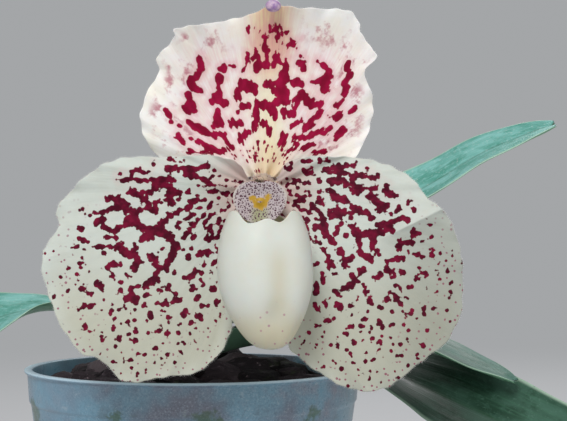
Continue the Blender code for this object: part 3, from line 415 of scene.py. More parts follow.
def new_piece(name, slot, points, faces, finish, replaced=(), fields=None):
    """A smooth mesh of points, lists of faces and fields per point, which rides on the body."""
    mesh = bpy.data.meshes.new(name)
    faces = facing_out(points, faces)
    points = np.asarray(points, np.float32)
    corners = np.concatenate([f.ravel() for f in faces]).astype(np.int32)
    sides = np.concatenate([np.full(len(f), f.shape[1]) for f in faces])
    mesh.vertices.add(len(points))
    mesh.vertices.foreach_set("co", points.ravel())
    mesh.loops.add(len(corners))
    mesh.loops.foreach_set("vertex_index", corners)
    mesh.polygons.add(len(sides))
    mesh.polygons.foreach_set("loop_start", np.concatenate([[0], np.cumsum(sides)[:-1]]).astype(np.int32))
    mesh.update(calc_edges=True)
    mesh.polygons.foreach_set("use_smooth", np.ones(len(sides), bool))
    for field, values in (fields or {}).items():
        held = mesh.attributes.new(field, "FLOAT", "POINT")
        held.data.foreach_set("value", np.asarray(values, np.float32).ravel())
    mesh.materials.append(finish)
    mesh.validate()
    piece = bpy.data.objects.new(name, mesh)
    bpy.context.scene.collection.objects.link(piece)
    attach(piece, BODY)
    if replaced:
        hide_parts(*replaced)
    return piece


def from_flower(right, up, forward):
    """Flower directions to places in the part's own frame."""
    return np.stack([FLOWER[0] + right, FLOWER[1] - forward, FLOWER[2] + up], axis=-1)


def ripple(x, y, seed, waves=7):
    """A soft random relief of about -1 to 1: a sum of sines with drawn directions, speeds and phases."""
    draw = np.random.default_rng(seed)
    total = np.zeros(np.broadcast(x, y).shape)
    for _ in range(waves):
        way, phase = draw.uniform(0, TURN, 2)
        speed = draw.uniform(0.6, 1.7)
        total = total + np.sin(speed * (x * math.cos(way) + y * math.sin(way)) + phase)
    return total / math.sqrt(waves)


def frames_along(line):
    """Side and top directions on a line, with the top as near upright as it can be."""
    forward = np.gradient(line, axis=0)
    forward /= np.linalg.norm(forward, axis=1, keepdims=True)
    side = np.cross(forward, (0, 0, 1))
    side /= np.linalg.norm(side, axis=1, keepdims=True)
    return side, np.cross(side, forward)


def tube_shape(line, radius_at, sides):
    """A closed tube: line(s) + r(s, a) (side cos a + top sin a)."""
    side, top = frames_along(line)
    rows = len(line)
    a = np.arange(sides) * TURN / sides
    radius = radius_at(np.linspace(0, 1, rows)[:, None], a[None, :]) * np.ones((rows, sides))
    ring = (
        line[:, None]
        + (radius * np.cos(a))[..., None] * side[:, None]
        + (radius * np.sin(a))[..., None] * top[:, None]
    )
    return np.vstack([ring.reshape(-1, 3), line[:1], line[-1:]]), capped(rows, sides)


def lathe_shape(profile, sides):
    """A profile (radius, height) turned round the pot's axis, closed at both ends."""
    a = np.arange(sides) * TURN / sides
    radius, height = profile[1:-1, :1], profile[1:-1, 1:]
    ring = np.stack([radius * np.cos(a), radius * np.sin(a), np.repeat(height, sides, axis=1)], axis=-1)
    ends = [(0, 0, profile[0, 1]), (0, 0, profile[-1, 1])]
    return np.vstack([ring.reshape(-1, 3), ends]), capped(len(radius), sides)


def rounded(profile, reach, steps=5):
    """A profile with each inner corner turned into a short curve that starts at most reach before it."""
    p = np.array(profile, float)
    made = [p[0]]
    for before, corner, after in zip(p[:-2], p[1:-1], p[2:]):
        into, out = np.linalg.norm(corner - before), np.linalg.norm(after - corner)
        a = corner - (corner - before) / into * min(reach, 0.45 * into)
        b = corner + (after - corner) / out * min(reach, 0.45 * out)
        t = np.linspace(0, 1, steps)[:, None]
        made += list(a * (1 - t) ** 2 + 2 * corner * t * (1 - t) + b * t**2)
    made.append(p[-1])
    return np.array(made)


def facing_out(points, faces):
    """The faces of a closed shape, all turned over if together they close in a negative volume."""
    corners = [points[f[:, (0, k, k + 1)]] for f in faces for k in range(1, f.shape[1] - 1)]
    total = sum((c[:, 0] * np.cross(c[:, 1], c[:, 2])).sum() for c in corners)
    return faces if total > 0 else [f[:, ::-1] for f in faces]


def joined(shapes):
    """Several closed shapes of (points, faces) as one, each facing outwards."""
    points, faces, start = [], [], 0
    for p, fs in shapes:
        fs = facing_out(p, fs)
        points.append(p)
        faces += [f + start for f in fs]
        start += len(p)
    return np.vstack(points), faces


def hair_shape(roots, ways, lengths, radius):
    """Points and faces of straight three-sided hairs, each from its root along its way to a point."""
    ways = ways / np.linalg.norm(ways, axis=1, keepdims=True)
    across = np.cross(ways, (0.31, 0.17, 0.93))
    across /= np.linalg.norm(across, axis=1, keepdims=True)
    other = np.cross(ways, across)
    a = np.arange(3) * TURN / 3
    ring = roots[:, None] + radius * (
        np.cos(a)[None, :, None] * across[:, None] + np.sin(a)[None, :, None] * other[:, None]
    )
    tips = roots + ways * lengths[:, None]
    points = np.concatenate([ring, tips[:, None]], axis=1).reshape(-1, 3)
    start = np.arange(len(roots))[:, None, None] * 4
    faces = start + np.array(((0, 1, 3), (1, 2, 3), (2, 0, 3), (0, 2, 1)))[None]
    return points, [faces.reshape(-1, 3)]


def tube_hairs(draw, line, radius_at, count, shares, turns, stray, lengths):
    """Hairs that stand out from a tube between two shares of its line and two turns round it."""
    side, top = frames_along(line)
    s, a = draw.uniform(*shares, count), draw.uniform(*turns, count)
    out = np.cos(a)[:, None] * along(side, s) + np.sin(a)[:, None] * along(top, s)
    roots = along(line, s) + out * (radius_at(s, a) - 0.05 * MM)[:, None]
    ways = out + draw.normal(0, stray, (count, 3))
    return hair_shape(roots, ways, draw.uniform(*lengths, count) * MM, 0.03 * MM)


def ball_ways(rows, columns):
    """Directions all round: rings from pole to pole, then the two poles."""
    polar = np.linspace(0, math.pi, rows + 2)[1:-1, None]
    turn = np.arange(columns)[None, :] * TURN / columns
    rings = [np.sin(polar) * np.cos(turn), np.sin(polar) * np.sin(turn), np.cos(polar) + 0 * turn]
    return np.vstack([np.stack(rings, axis=-1).reshape(-1, 3), (0, 0, 1), (0, 0, -1)])


def ball_shape(centre, radii, rows=16, columns=24):
    """A closed ellipsoid: its centre and radii as right, up and forward in mm."""
    ways = ball_ways(rows, columns)[:, (0, 2, 1)]
    return from_flower(*((np.array(centre) + radii * ways) * MM).T), capped(rows, columns)


# Materials.


class Finish:
    """A Principled BSDF material and short ways to add the nodes that feed it."""

    def __init__(self, name, roughness, **constants):
        self.material = bpy.data.materials.new(name)
        self.material.use_nodes = True
        self.tree = self.material.node_tree
        self.shader = self.tree.nodes["Principled BSDF"]
        self.rough(roughness)
        for socket, value in constants.items():
            self.feed(self.shader.inputs[socket.replace("_", " ").title().replace("Ior", "IOR")], value)

    def feed(self, socket, value):
        """Links an output to a socket, or sets the socket's own value."""
        if isinstance(value, bpy.types.NodeSocket):
            self.tree.links.new(value, socket)
        else:
            socket.default_value = value

    def node(self, kind, fed, **settings):
        """The outputs of a new node, whose inputs are fed by name or by number."""
        made = self.tree.nodes.new("ShaderNode" + kind)
        for key, value in settings.items():
            setattr(made, key, value)
        for key, value in fed.items():
            self.feed(made.inputs[key], value)
        return made.outputs

    def place(self):
        return self.node("TexCoord", {})["Object"]

    def field(self, name):
        return self.node("Attribute", {}, attribute_name=name)["Fac"]

    def vector(self, x, y, z=0.0):
        return self.node("CombineXYZ", {0: x, 1: y, 2: z})[0]

    def face_on(self):
        """Where a place is across and up, whatever its depth."""
        parts = self.node("SeparateXYZ", {0: self.place()})
        return self.vector(parts[0], parts[2])

    def stretch(self, vector, scale):
        return self.node("VectorMath", {0: vector, 1: scale}, operation="MULTIPLY")[0]

    def sum(self, a, b, kind="ADD"):
        return self.node("Math", {0: a, 1: b}, operation=kind)[0]

    def times(self, a, b):
        return self.sum(a, b, "MULTIPLY")

    def between(self, value, low, high, to_low=0.0, to_high=1.0):
        """The value carried from low..high to to_low..to_high on an S-curve."""
        fed = dict(enumerate((value, low, high, to_low, to_high)))
        return self.node("MapRange", fed, interpolation_type="SMOOTHSTEP")[0]

    def noise(self, vector, scale, detail=3.0, rough=0.55, distortion=0.0):
        fed = {"Vector": vector, "Scale": scale, "Detail": detail, "Roughness": rough}
        return self.node("TexNoise", {**fed, "Distortion": distortion})["Fac"]

    def cells(self, vector, scale, output="Distance", feature="F1", flat=False):
        settings = {"feature": feature, "voronoi_dimensions": "2D" if flat else "3D"}
        return self.node("TexVoronoi", {"Vector": vector, "Scale": scale}, **settings)[output]

    def dots(self, vector, scale, size, flat=False):
        """Above 0 inside round dots, one to a cell, whose radii go up to size cells."""
        random_size = self.sum(self.cells(vector, scale, "Color", flat=flat), 0.2)
        return self.sum(self.times(random_size, size), self.cells(vector, scale, flat=flat), "SUBTRACT")

    def mix(self, share, a, b):
        """Colour a where share is 0 and colour b where it is 1."""
        return self.node("Mix", {"Factor": share, 6: a, 7: b}, data_type="RGBA")[2]

    def layers(self, ground, *rows):
        """Lays colours over a ground, each as far as its value has run from low to high, up to its share."""
        for value, low, high, share, colour in rows:
            ground = self.mix(self.between(value, low, high, 0.0, share), ground, colour)
        return ground

    def colour(self, value):
        self.feed(self.shader.inputs["Base Color"], value)

    def rough(self, value):
        self.feed(self.shader.inputs["Roughness"], value)

    def relief(self, height, depth, strength):
        """Bump of that depth in metres."""
        fed = {"Strength": strength, "Distance": depth, "Height": height}
        self.feed(self.shader.inputs["Normal"], self.node("Bump", fed)[0])


def petal_finish(name, blotch, dark, pale, creamy_and_shaded, glow, rayed=False):
    """Cream tissue with fine veins, maroon where the stored distance to a blotch, roughened, is below 0."""
    look = Finish(
        name, 0.6, subsurface_weight=0.06, specular_ior_level=0.1, subsurface_radius=(1.0, 0.6, 0.4),
        subsurface_scale=0.3 * MM,
    )
    place, flat = look.place(), look.face_on()
    streaks = look.noise(look.vector(look.times(look.field("vein"), 9.0), look.field("reach")), 9.0, 2.0)
    mottle = look.noise(place, 260.0, 3.0)
    rays = look.vector(look.times(look.field("vein"), 0.018), look.times(look.field("reach"), 0.024))
    spread = rays if rayed else flat
    jagged = look.noise(spread, 600.0, 2.0, 0.5)
    ragged = look.noise(spread, 1900.0, 2.0, 0.6)
    lobes = look.cells(spread, 900.0, flat=True)
    # the cream ground is partly the tissue's own cream, partly painted shade on the lower petals and near
    # their base
    ground = look.layers(pale, (look.field("warm"), 0.0, 1.0, 1.0, creamy_and_shaded), (mottle, 0.35, 0.7, 0.2, creamy_and_shaded))
    # painted shade: the ground greyed where the stored painted shade field is set, on the right petal
    ground = look.mix(look.field("dull"), ground, srgb(138, 140, 128))
    flush = look.times(look.field("blush"), look.between(streaks, 0.35, 0.65, 0.5, 1.0))
    ground = look.mix(flush, ground, glow)
    near = look.sum(look.field("blotch"), look.between(jagged, 0.25, 0.75, 0.24, -0.24))
    near = look.sum(near, look.between(lobes, 0.1, 0.75, -0.24, 0.26))
    near = look.sum(near, look.between(ragged, 0.25, 0.75, 0.1, -0.1))
    ground = look.mix(look.times(look.between(near, 1.3, 0.0, 0.0, 0.55), look.field("halo")), ground, glow)
    clouded = look.sum(look.times(mottle, 0.4), look.times(jagged, 0.6))
    stain = look.mix(look.between(clouded, 0.38, 0.62), blotch, dark)
    if rayed:
        marks, mark = look.between(look.noise(rays, 520.0, 4.0, 0.65), 0.5, 0.66), srgb(190, 104, 122)
    else:
        marks, mark = look.between(look.dots(flat, 900.0, 0.23, True), 0.0, 0.05), srgb(142, 52, 88)
        marks = look.times(marks, look.between(look.cells(flat, 900.0, "Color", flat=True), 0.5, 0.52))
    marks = look.times(look.times(marks, look.field("freckle")), look.between(near, 0.3, 0.6, 0.0, 0.8))
    ground = look.mix(marks, ground, mark)
    through = look.mix(look.field("back"), stain, look.mix(0.55, stain, ground))
    look.colour(look.mix(look.between(near, 0.06, -0.06), ground, through))
    look.relief(look.sum(look.times(streaks, 0.8), look.times(mottle, 0.5)), 0.12 * MM, 0.5)
    return look.material


def plain_tissue(name, main, other, roughness, speck=None, scale=300.0, depth=0.05 * MM):
    """Soft tissue of two mingled tones, with small dark specks if speck is given, all in display steps."""
    look = Finish(name, roughness, subsurface_weight=0.1, specular_ior_level=0.35, subsurface_scale=0.6 * MM)
    place = look.place()
    mottle = look.noise(place, scale, 4.0)
    ground = look.layers(srgb(*main), (mottle, 0.35, 0.65, 1.0, srgb(*other)))
    if speck:
        ground = look.layers(ground, (look.dots(place, scale * 2.4, 0.45), -0.03, 0.05, 1.0, srgb(*speck)))
    look.colour(ground)
    look.relief(mottle, depth, 0.6)
    return look.material


def lip_finish():
    """Ivory, creamier low down and greyed along the groove as painted shade, with a few faint purple dots
    where the stored field allows them.
    """
    look = Finish(
        "pouch_ivory", 0.38, subsurface_weight=0.15, specular_ior_level=0.45, coat_weight=0.08,
        subsurface_scale=0.8 * MM,
    )
    place = look.place()
    cloud = look.noise(place, 120.0, 3.0)
    fine = look.noise(place, 900.0, 2.0)
    ground = look.layers(
        srgb(221, 224, 215),
        # the cream field is partly creamier tissue, partly painted shade along the groove
        (look.field("warm"), 0.0, 1.0, 1.0, srgb(208, 200, 170)),
        (cloud, 0.4, 0.7, 0.3, srgb(214, 210, 188)),
    )
    ground = look.mix(look.times(look.field("green"), 0.7), ground, srgb(196, 196, 128))
    dots = look.between(look.dots(look.face_on(), 420.0, 0.11, True), -0.01, 0.02, 0.0, 0.6)
    look.colour(look.mix(look.times(dots, look.field("dots")), ground, srgb(176, 84, 128)))
    look.relief(look.sum(fine, look.times(cloud, 2.0)), 0.04 * MM, 0.5)
    look.rough(look.between(cloud, 0.3, 0.7, 0.34, 0.44))
    return look.material


def staminode_finish():
    """Lilac grey crowded with dark dots, a yellow heart in the middle and green under it."""
    look = Finish("staminode_skin", 0.45, subsurface_weight=0.05, specular_ior_level=0.3)
    dots = look.dots(look.face_on(), 2700.0, 0.43, True)
    ground = look.mix(look.field("green"), srgb(196, 182, 184), srgb(152, 154, 100))
    ground = look.mix(look.field("edge"), ground, srgb(206, 196, 188))
    ragged = look.between(look.noise(look.place(), 1500.0), 0.3, 0.7, 0.35, -0.35)
    heart = look.sum(look.field("heart"), ragged)
    ground = look.mix(look.between(heart, 0.3, -0.2), ground, srgb(202, 158, 46))
    clear = look.times(look.between(heart, -0.1, 0.4, 0.1, 1.0), look.between(look.field("edge"), 0.95, 0.4))
    ground = look.mix(look.times(look.between(dots, -0.06, 0.06), clear), ground, srgb(78, 30, 52))
    look.colour(ground)
    look.relief(look.noise(look.place(), 900.0, 3.0), 0.06 * MM, 0.6)
    return look.material


def leaf_finish(name, dark):
    """Blue-green with long fine veins, a netted pattern of paler cells, dust, a pale edge and painted shade
    near the base of the dark leaves.
    """

    def shade(pale, deep):
        return tuple(np.array(pale) * (1 - dark) + np.array(deep) * dark)

    look = Finish(name, 0.42, specular_ior_level=0.3)
    across, length = look.field("across"), look.field("length")
    strips = [
        look.vector(look.times(across, wide), look.times(length, long))
        for wide, long in ((26.0, 60.0), (7.0, 300.0), (5.0, 260.0), (2.2, 120.0))
    ]
    lines = look.noise(strips[0], 1.0, 3.0)
    broken = look.noise(strips[1], 1.0, 4.0, 0.7)
    net = look.cells(strips[2], 1.0, feature="SMOOTH_F1")
    patch = look.noise(strips[3], 1.0, 4.0, 0.6, 0.5)
    dust = look.noise(look.place(), 1400.0, 2.0, 0.7)
    beside = look.sum(across, 0.0, "ABSOLUTE")
    light = shade(srgb(154, 218, 212), srgb(70, 110, 92))
    ground = look.layers(
        shade(colours().leaf_pale, colours().leaf_dark),
        (patch, 0.4, 0.66, 0.75, light),
        (net, 0.35, 0.75, 0.3, light),
        (broken, 0.5, 0.66, 0.55, light),
        (lines, 0.5, 0.7, 0.3, srgb(70, 120, 92)),
        (beside, 0.9, 0.99, 0.75, srgb(186, 214, 190)),
        (beside, 0.07, 0.0, 0.4, srgb(60, 104, 74)),
        (dust, 0.56, 0.72, 0.35, shade(srgb(206, 226, 220), srgb(96, 134, 116))),
        # painted shade: the base of the dark leaves, under the flower, darkened
        (length, 0.08, 0.045, 1.1 * max(dark - 0.5, 0), srgb(26, 36, 30)),
        (look.field("under"), 0.4, 0.6, 1.0, srgb(122, 168, 138)),
    )
    look.colour(ground)
    look.relief(look.sum(look.times(lines, 0.8), look.times(patch, 0.6)), 0.14 * MM, 0.6)
    look.rough(look.between(patch, 0.3, 0.7, 0.38, 0.52))
    return look.material


def pot_finish():
    """Milky plastic, painted lighter and bluer on the left as painted light, with bark and algae showing
    faintly through and a paler lip painted as a highlight.
    """
    look = Finish("milky_plastic", 0.32, specular_ior_level=0.5, coat_weight=0.1)
    place = look.place()
    broad = look.noise(place, 55.0, 3.0, 0.6)
    patch = look.noise(look.stretch(place, (1.0, 1.0, 1.3)), 95.0, 4.0, 0.65)
    grime = look.noise(place, 420.0, 4.0, 0.7)
    grain = look.noise(place, 2400.0, 2.0, 0.8)
    ground = look.layers(
        colours().pot_colour,
        (broad, 0.4, 0.6, 0.85, srgb(114, 112, 126)),
        (patch, 0.52, 0.7, 0.38, srgb(146, 124, 130)),
        (grain, 0.52, 0.7, 0.45, srgb(170, 184, 194)),
        (grain, 0.48, 0.32, 0.4, srgb(76, 88, 100)),
        (patch, 0.44, 0.3, 0.5, srgb(84, 96, 100)),
    )
    # painted light: the left side of the pot lighter and bluer
    ground = look.mix(look.field("painted_light_left"), ground, srgb(122, 170, 194))
    spread = look.sum(look.times(look.field("algae"), 0.45), look.times(grime, 0.8))
    ground = look.layers(
        ground,
        (look.sum(spread, look.times(broad, 0.5)), 0.86, 1.02, 0.7, srgb(62, 90, 46)),
        (grime, 0.6, 0.72, 0.4, srgb(176, 190, 198)),
    )
    # painted highlight: the top edge of the lip painted paler
    look.colour(look.mix(look.field("lip"), ground, srgb(196, 222, 236)))
    look.relief(look.sum(grime, look.times(patch, 2.0)), 0.1 * MM, 0.5)
    look.rough(look.between(grime, 0.3, 0.7, 0.25, 0.42))
    return look.material


def bark_finish():
    """Rough bark from near black to purplish grey, each chunk its own tone, with pale scurf on top."""
    look = Finish("bark_chunks", 0.92, specular_ior_level=0.2)
    place = look.place()
    broad = look.noise(place, 130.0, 3.0)
    grain = look.noise(place, 520.0, 5.0, 0.65)
    crust = look.noise(look.stretch(place, (1.0, 1.0, 2.2)), 230.0, 4.0, 0.6, 1.5)
    tone = look.field("tone")
    moss = look.times(look.between(broad, 0.62, 0.72), look.between(grain, 0.4, 0.6))
    ground = look.layers(
        colours().bark_dark,
        (tone, 0.2, 0.9, 1.0, srgb(62, 53, 57)),
        (tone, 0.75, 0.95, 0.6, srgb(126, 114, 118)),
        (crust, 0.5, 0.68, 0.6, srgb(78, 68, 73)),
        (grain, 0.6, 0.74, 0.7, srgb(152, 134, 140)),
    )
    look.colour(look.mix(look.times(moss, 0.4), ground, srgb(66, 82, 44)))
    look.relief(look.sum(grain, look.times(crust, 2.0)), 0.45 * MM, 0.9)
    return look.material


def hair_finish(name, main):
    """Hair that varies between white and a colour given in display steps."""
    look = Finish(name, 0.5, specular_ior_level=0.3)
    look.colour(look.mix(look.noise(look.place(), 400.0), srgb(*main), srgb(250, 248, 244)))
    return look.material


# Flower shapes.


def bowl(right, up, rise, reach, steep, steep_reach):
    """A hollow round where the parts meet: steep inside steep_reach, then rising with the square."""
    away = np.hypot(right, up)
    return steep * (1 - bell(away, 0, steep_reach)) + rise * (away / reach) ** 2


def petal_forward(right, up, out):
    """The petals' relief: a bowl, waved margins, a soft fold on the right petal and fine veins."""
    turn = np.arctan2(up, np.abs(right))
    wave = 0.8 * MM * np.sin(9 * turn + np.where(right < 0, 0.6, 2.2)) + 0.4 * MM * np.sin(17 * turn)
    fine = 0.28 * MM * np.sin(41 * turn + 3 * np.sin(5 * turn)) * out**14
    fold_away = ((up + 6.2 * MM) - 0.5 * (right - 28.5 * MM)) / (1.1 * MM)
    fold_along = smooth(20 * MM, 27 * MM, right)
    fold = 1.7 * MM * fold_along * np.exp(-np.abs(fold_away) / np.where(fold_away > 0, 3.4, 1.5))
    swell = 0.85 * MM * ripple(right / (6 * MM), up / (6 * MM), 11)
    veins = 0.02 * MM * np.sin(95 * turn) * smooth(0.1, 0.4, out)
    cup = bowl(right, up, 4 * MM, 42 * MM, 4 * MM, 10 * MM)
    return PETAL_SEAT + cup + wave * out**5 + fine + fold + swell * out + veins


def dorsal_forward(right, up, out):
    """The upper sepal's relief: a hood, a keel down its middle, a rolled top, a waved edge and veins."""
    hood = bowl(right, up, 8.5 * MM, 34 * MM, 0, 1)
    roll = 2.2 * MM * np.clip((up - 24 * MM) / (11 * MM), 0, 1) ** 2
    keel = -0.7 * MM * bell(right, 1.2 * MM, 1.6 * MM) * np.clip(up / (30 * MM), 0, 1)
    turn = np.arctan2(right, up)
    wave = 0.9 * MM * np.sin(11 * turn) * out**6
    fine = 0.25 * MM * np.sin(47 * turn) * out**14
    swell = 0.3 * MM * ripple(right / (4.5 * MM), up / (4.5 * MM), 5)
    veins = 0.03 * MM * np.sin(70 * turn) * smooth(0.05, 0.3, out)
    return SEPAL_SEAT + hood + roll + keel + wave + fine + swell * out + veins


def synsepal_forward(right, up, out):
    """The lower sepal's relief: a shallow bowl with fine ribs."""
    ribs = 0.04 * MM * np.sin(right / (0.35 * MM))
    return SEPAL_SEAT - 0.1 * MM + bowl(right, up, 2.4 * MM, 22 * MM, 0, 1) + ribs


def plate(edge, rings, forward_at):
    """A thin closed plate: rings that shrink from its edge to its middle, in front and again behind."""
    hub = edge.mean(axis=0)
    flats, outs = [], []
    for count in rings:
        shares = (np.arange(1, count + 1) / count) ** 0.85
        flats += [(hub + shares[:, None, None] * (edge - hub)).reshape(-1, 2), [hub]]
        outs += [np.repeat(shares, len(edge)), [0]]
    flat, out = np.vstack(flats), np.concatenate(outs)
    back = np.repeat((0.0, 1.0), [count * len(edge) + 1 for count in rings])
    points = from_flower(*flat.T, forward_at(*flat.T, out, back))
    return points, shell_faces(*rings, len(edge)), flat, out, back


def blade(name, outline, forward, finish, replaced, fields_at, rings=None, sectors=None):
    """A closed sepal or petal with a scalloped edge: its relief plus and minus half its thickness."""
    size = sizes()
    rings, sectors = rings or size.blade_rings, sectors or size.blade_sectors
    edge = curve(outline, sectors, closed=True, steps=40)
    turn = np.arange(sectors)[:, None] * TURN / sectors
    scallop = np.sin(27 * turn + 1.6 * np.sin(5 * turn)) + 0.6 * np.sin(47 * turn + 2 * np.sin(3 * turn))
    outward = edge - edge.mean(axis=0)
    edge = edge + 0.1 * MM * scallop * outward / np.linalg.norm(outward, axis=1, keepdims=True)

    def forward_at(right, up, out, back):
        return forward(right, up, out) + (0.5 - back) * size.petal_thickness * (1 - 0.72 * out**8)

    points, faces, flat, out, back = plate(edge, (rings, max(rings // 4, 6)), forward_at)
    fields = {**fields_at(*flat.T, out), "back": back}
    new_piece(name, "petal", points, faces, finish, replaced, fields)
    return edge


def segments(strokes, wider=1.0, more=0.0):
    """Strokes as rows of their segments' starts, ends and radii, in mm."""
    rows = []
    for radius, *flat in strokes:
        places = list(zip(flat[::2], flat[1::2]))
        rows += [(*a, *b, radius * wider + more) for a, b in zip(places, places[1:] or places)]
    return np.array(rows, float)


def blotch_distance(right, up, rows):
    """The distance in mm to the nearest stroke's edge: below 0 inside one."""
    p = np.stack([right, up], axis=-1)[:, None] / MM
    a, b, radius = rows[:, :2], rows[:, 2:4], rows[:, 4]
    span = b - a
    length = np.maximum((span**2).sum(axis=1), 1e-9)
    nearest = np.full(len(p), 9.0)
    for start in range(0, len(rows), 64):
        part = slice(start, start + 64)
        t = np.clip(((p - a[part]) * span[part]).sum(axis=-1) / length[part], 0, 1)
        gap = np.linalg.norm(p - a[part] - t[..., None] * span[part], axis=-1) - radius[part]
        nearest = np.minimum(nearest, gap.min(axis=1))
    return nearest


def gap_at(place, rows):
    """The distance in mm from one place, given in mm, to the nearest stroke's edge."""
    return blotch_distance(*(np.array(place)[:, None] * MM), rows)[0]


def base_dashes(strokes, way, seed, reach):
    """Short dashes that point away from the flower's middle, on rings round it, clear of the strokes."""
    draw = np.random.default_rng(seed)
    rows = segments(strokes)
    made = []
    radius = reach[0]
    while radius < reach[1]:
        step = (0.85 + 0.055 * radius) / radius
        for angle in np.arange(-1.25 + draw.uniform(0, step), 0.42, step):
            turn = angle + draw.normal(0, 0.02)
            inner = radius + draw.uniform(-0.45, 0.45)
            size = draw.uniform(0.16, 0.27) * (0.8 + 0.05 * radius)
            outer = inner + draw.uniform(0.25, 0.8)
            x, y = way * math.cos(turn), math.sin(turn)
            if gap_at((x * inner, y * inner), rows) > size + 0.28:
                made.append((size, x * inner, y * inner, x * outer, y * outer))
        radius += 1.45 + 0.03 * radius
    return made


def loose_dots(strokes, outline, seed, wanted=60):
    """Small dots in a petal's lower half wherever no stroke is near."""
    draw = np.random.default_rng(seed)
    edge = np.array(outline, float)
    rows = segments(strokes, 1.1, 0.1)
    made = []
    hub = edge.mean(axis=0)
    while len(made) < wanted:
        corner = edge[draw.integers(len(edge))]
        share = draw.uniform(0.25, 0.93)
        place = hub + (corner - hub) * share + draw.normal(0, 1.6, 2)
        if place[1] > -11 or abs(place[0]) < 6.5 or share + 0.02 * abs(place[1]) < 0.8:
            continue
        size = draw.uniform(0.13, 0.3)
        if gap_at(place, rows) > size + 0.55:
            made.append((size, *place))
            rows = np.vstack([rows, (*place, *place, size)])
    return made


def margin_hairs(name, edge, forward, seed, count, finish):
    """Fine white hairs that stand out from a margin, leaning a little forward or back at random."""
    draw = np.random.default_rng(seed)
    roots = evenly(np.vstack([edge, edge[:1]]), count, closed=True)
    tangent = np.roll(roots, -1, axis=0) - np.roll(roots, 1, axis=0)
    normal = np.stack([tangent[:, 1], -tangent[:, 0]], axis=-1)
    normal /= np.linalg.norm(normal, axis=1, keepdims=True)
    area = (edge[:, 0] * np.roll(edge[:, 1], -1) - np.roll(edge[:, 0], -1) * edge[:, 1]).sum()
    normal *= 1 if area > 0 else -1
    inset = (roots - normal * 0.05 * MM).T
    base = from_flower(*inset, forward(*inset, np.ones(count)))
    base[:, 1] += draw.normal(0, 0.06 * MM, count)
    lean = normal + draw.normal(0, 0.35, (count, 2))
    ways = np.stack([lean[:, 0], draw.normal(0, 0.5, count), lean[:, 1]], axis=-1)
    lengths = sizes().hair_length * draw.uniform(0.45, 1.0, count)
    new_piece(name, "petal", *hair_shape(base, ways, lengths, 0.022 * MM), finish)


def petal_fields(strokes, outline, side, seed):
    """What a petal's finish reads at each place, such as the distance to a blotch, the blush there and the
    painted shade on the right petal.
    """
    dashes = base_dashes(strokes, side, seed, (3.6, 17.5 if side < 0 else 12.5))
    dots = loose_dots(strokes, outline, seed)
    rows = np.vstack([segments(strokes, 1.08, 0.08), segments(dashes, 1.1, 0.06), segments(dots)])

    def fields(right, up, out):
        away = np.hypot(right, up) / MM
        r, u = right / MM, up / MM
        low = smooth(-4, -30, u)
        below_fold = 0.5 * (r - 28.5) - (u + 6.2)
        return {
            "blotch": blotch_distance(right, up, rows),
            # painted shade: the right petal greyed below its fold on its outer part, and a little low down
            "dull": 0.5 * smooth(-0.4, 2, below_fold) * smooth(18, 33, r) + 0.12 * smooth(0, 8, r) * low,
            "vein": np.arctan2(up, np.abs(right)),
            "reach": away * 0.02,
            # creamier low down and near the base: partly the petal's own cream, partly painted shade where
            # the lower petal faces down and at its base
            "warm": np.clip(0.1 + 0.8 * low + 0.5 * smooth(15, 4, away) - 0.25 * smooth(0.85, 1, out), 0, 1),
            "blush": 0.55 * smooth(14, 4, away),
            "halo": 0.3 * smooth(-8, 4, u) * smooth(14, 22, away),
            "freckle": smooth(0.55, 0.85, out) * smooth(2, -14, u),
        }

    return fields


def dorsal_fields():
    """What the upper sepal's finish reads, with small dots near its base and fine strokes near its tip."""
    draw = np.random.default_rng(3)
    extra = []
    for _ in range(70):
        turn, away = draw.normal(0, 0.42), draw.uniform(5.5, 9.5)
        extra.append((draw.uniform(0.09, 0.17), away * math.sin(turn), away * math.cos(turn)))
    for _ in range(75):
        x, y = draw.normal(1.4, 2.2), draw.uniform(23.5, 30.5)
        extra.append((draw.uniform(0.04, 0.14), x, y, x + draw.normal(0, 0.25), y + draw.uniform(0.2, 0.9)))
    rows = np.vstack([segments(DORSAL_BLOTCHES, 1.25, 0.1), segments(extra)])

    def fields(right, up, out):
        r, u = right / MM, up / MM
        pink = bell(np.abs(r - 1), 11, 7) * smooth(3, 12, u) * smooth(33, 24, u)
        middle = bell(r, 1.5, 4.5)
        return {
            "blotch": blotch_distance(right, up, rows),
            "dull": 0 * out,
            "vein": np.arctan2(right, up),
            "reach": np.hypot(r, u) * 0.02,
            "warm": np.clip(middle * (0.55 + 0.2 * smooth(12, 6, u) + 0.45 * smooth(20, 28, u)), 0, 1),
            "blush": np.clip(0.34 * pink + middle * (0.6 * smooth(18, 27, u) + 0.3 * smooth(9, 3, u)), 0, 1),
            "halo": 0.75 * smooth(0.98, 0.7, out) * (1 - 0.75 * middle * smooth(26, 18, u)),
            "freckle": smooth(0.55, 0.72, out) * smooth(0.97, 0.88, out) * smooth(5, 10, np.abs(r - 1)),
        }

    return fields


def plain_fields(right, up, out):
    """What the lower sepal's finish reads: no blotches, a creamy ground and freckles away from its middle.
    """
    level = {"blotch": 9, "dull": 0, "warm": 0.7, "blush": 0.1, "halo": 0}
    return {
        **{name: value + 0 * out for name, value in level.items()},
        "vein": np.arctan2(right, -up),
        "reach": np.hypot(right, up) / MM * 0.02,
        "freckle": 0.8 * smooth(0.3, 0.6, out) * smooth(1, 0.8, out),
    }


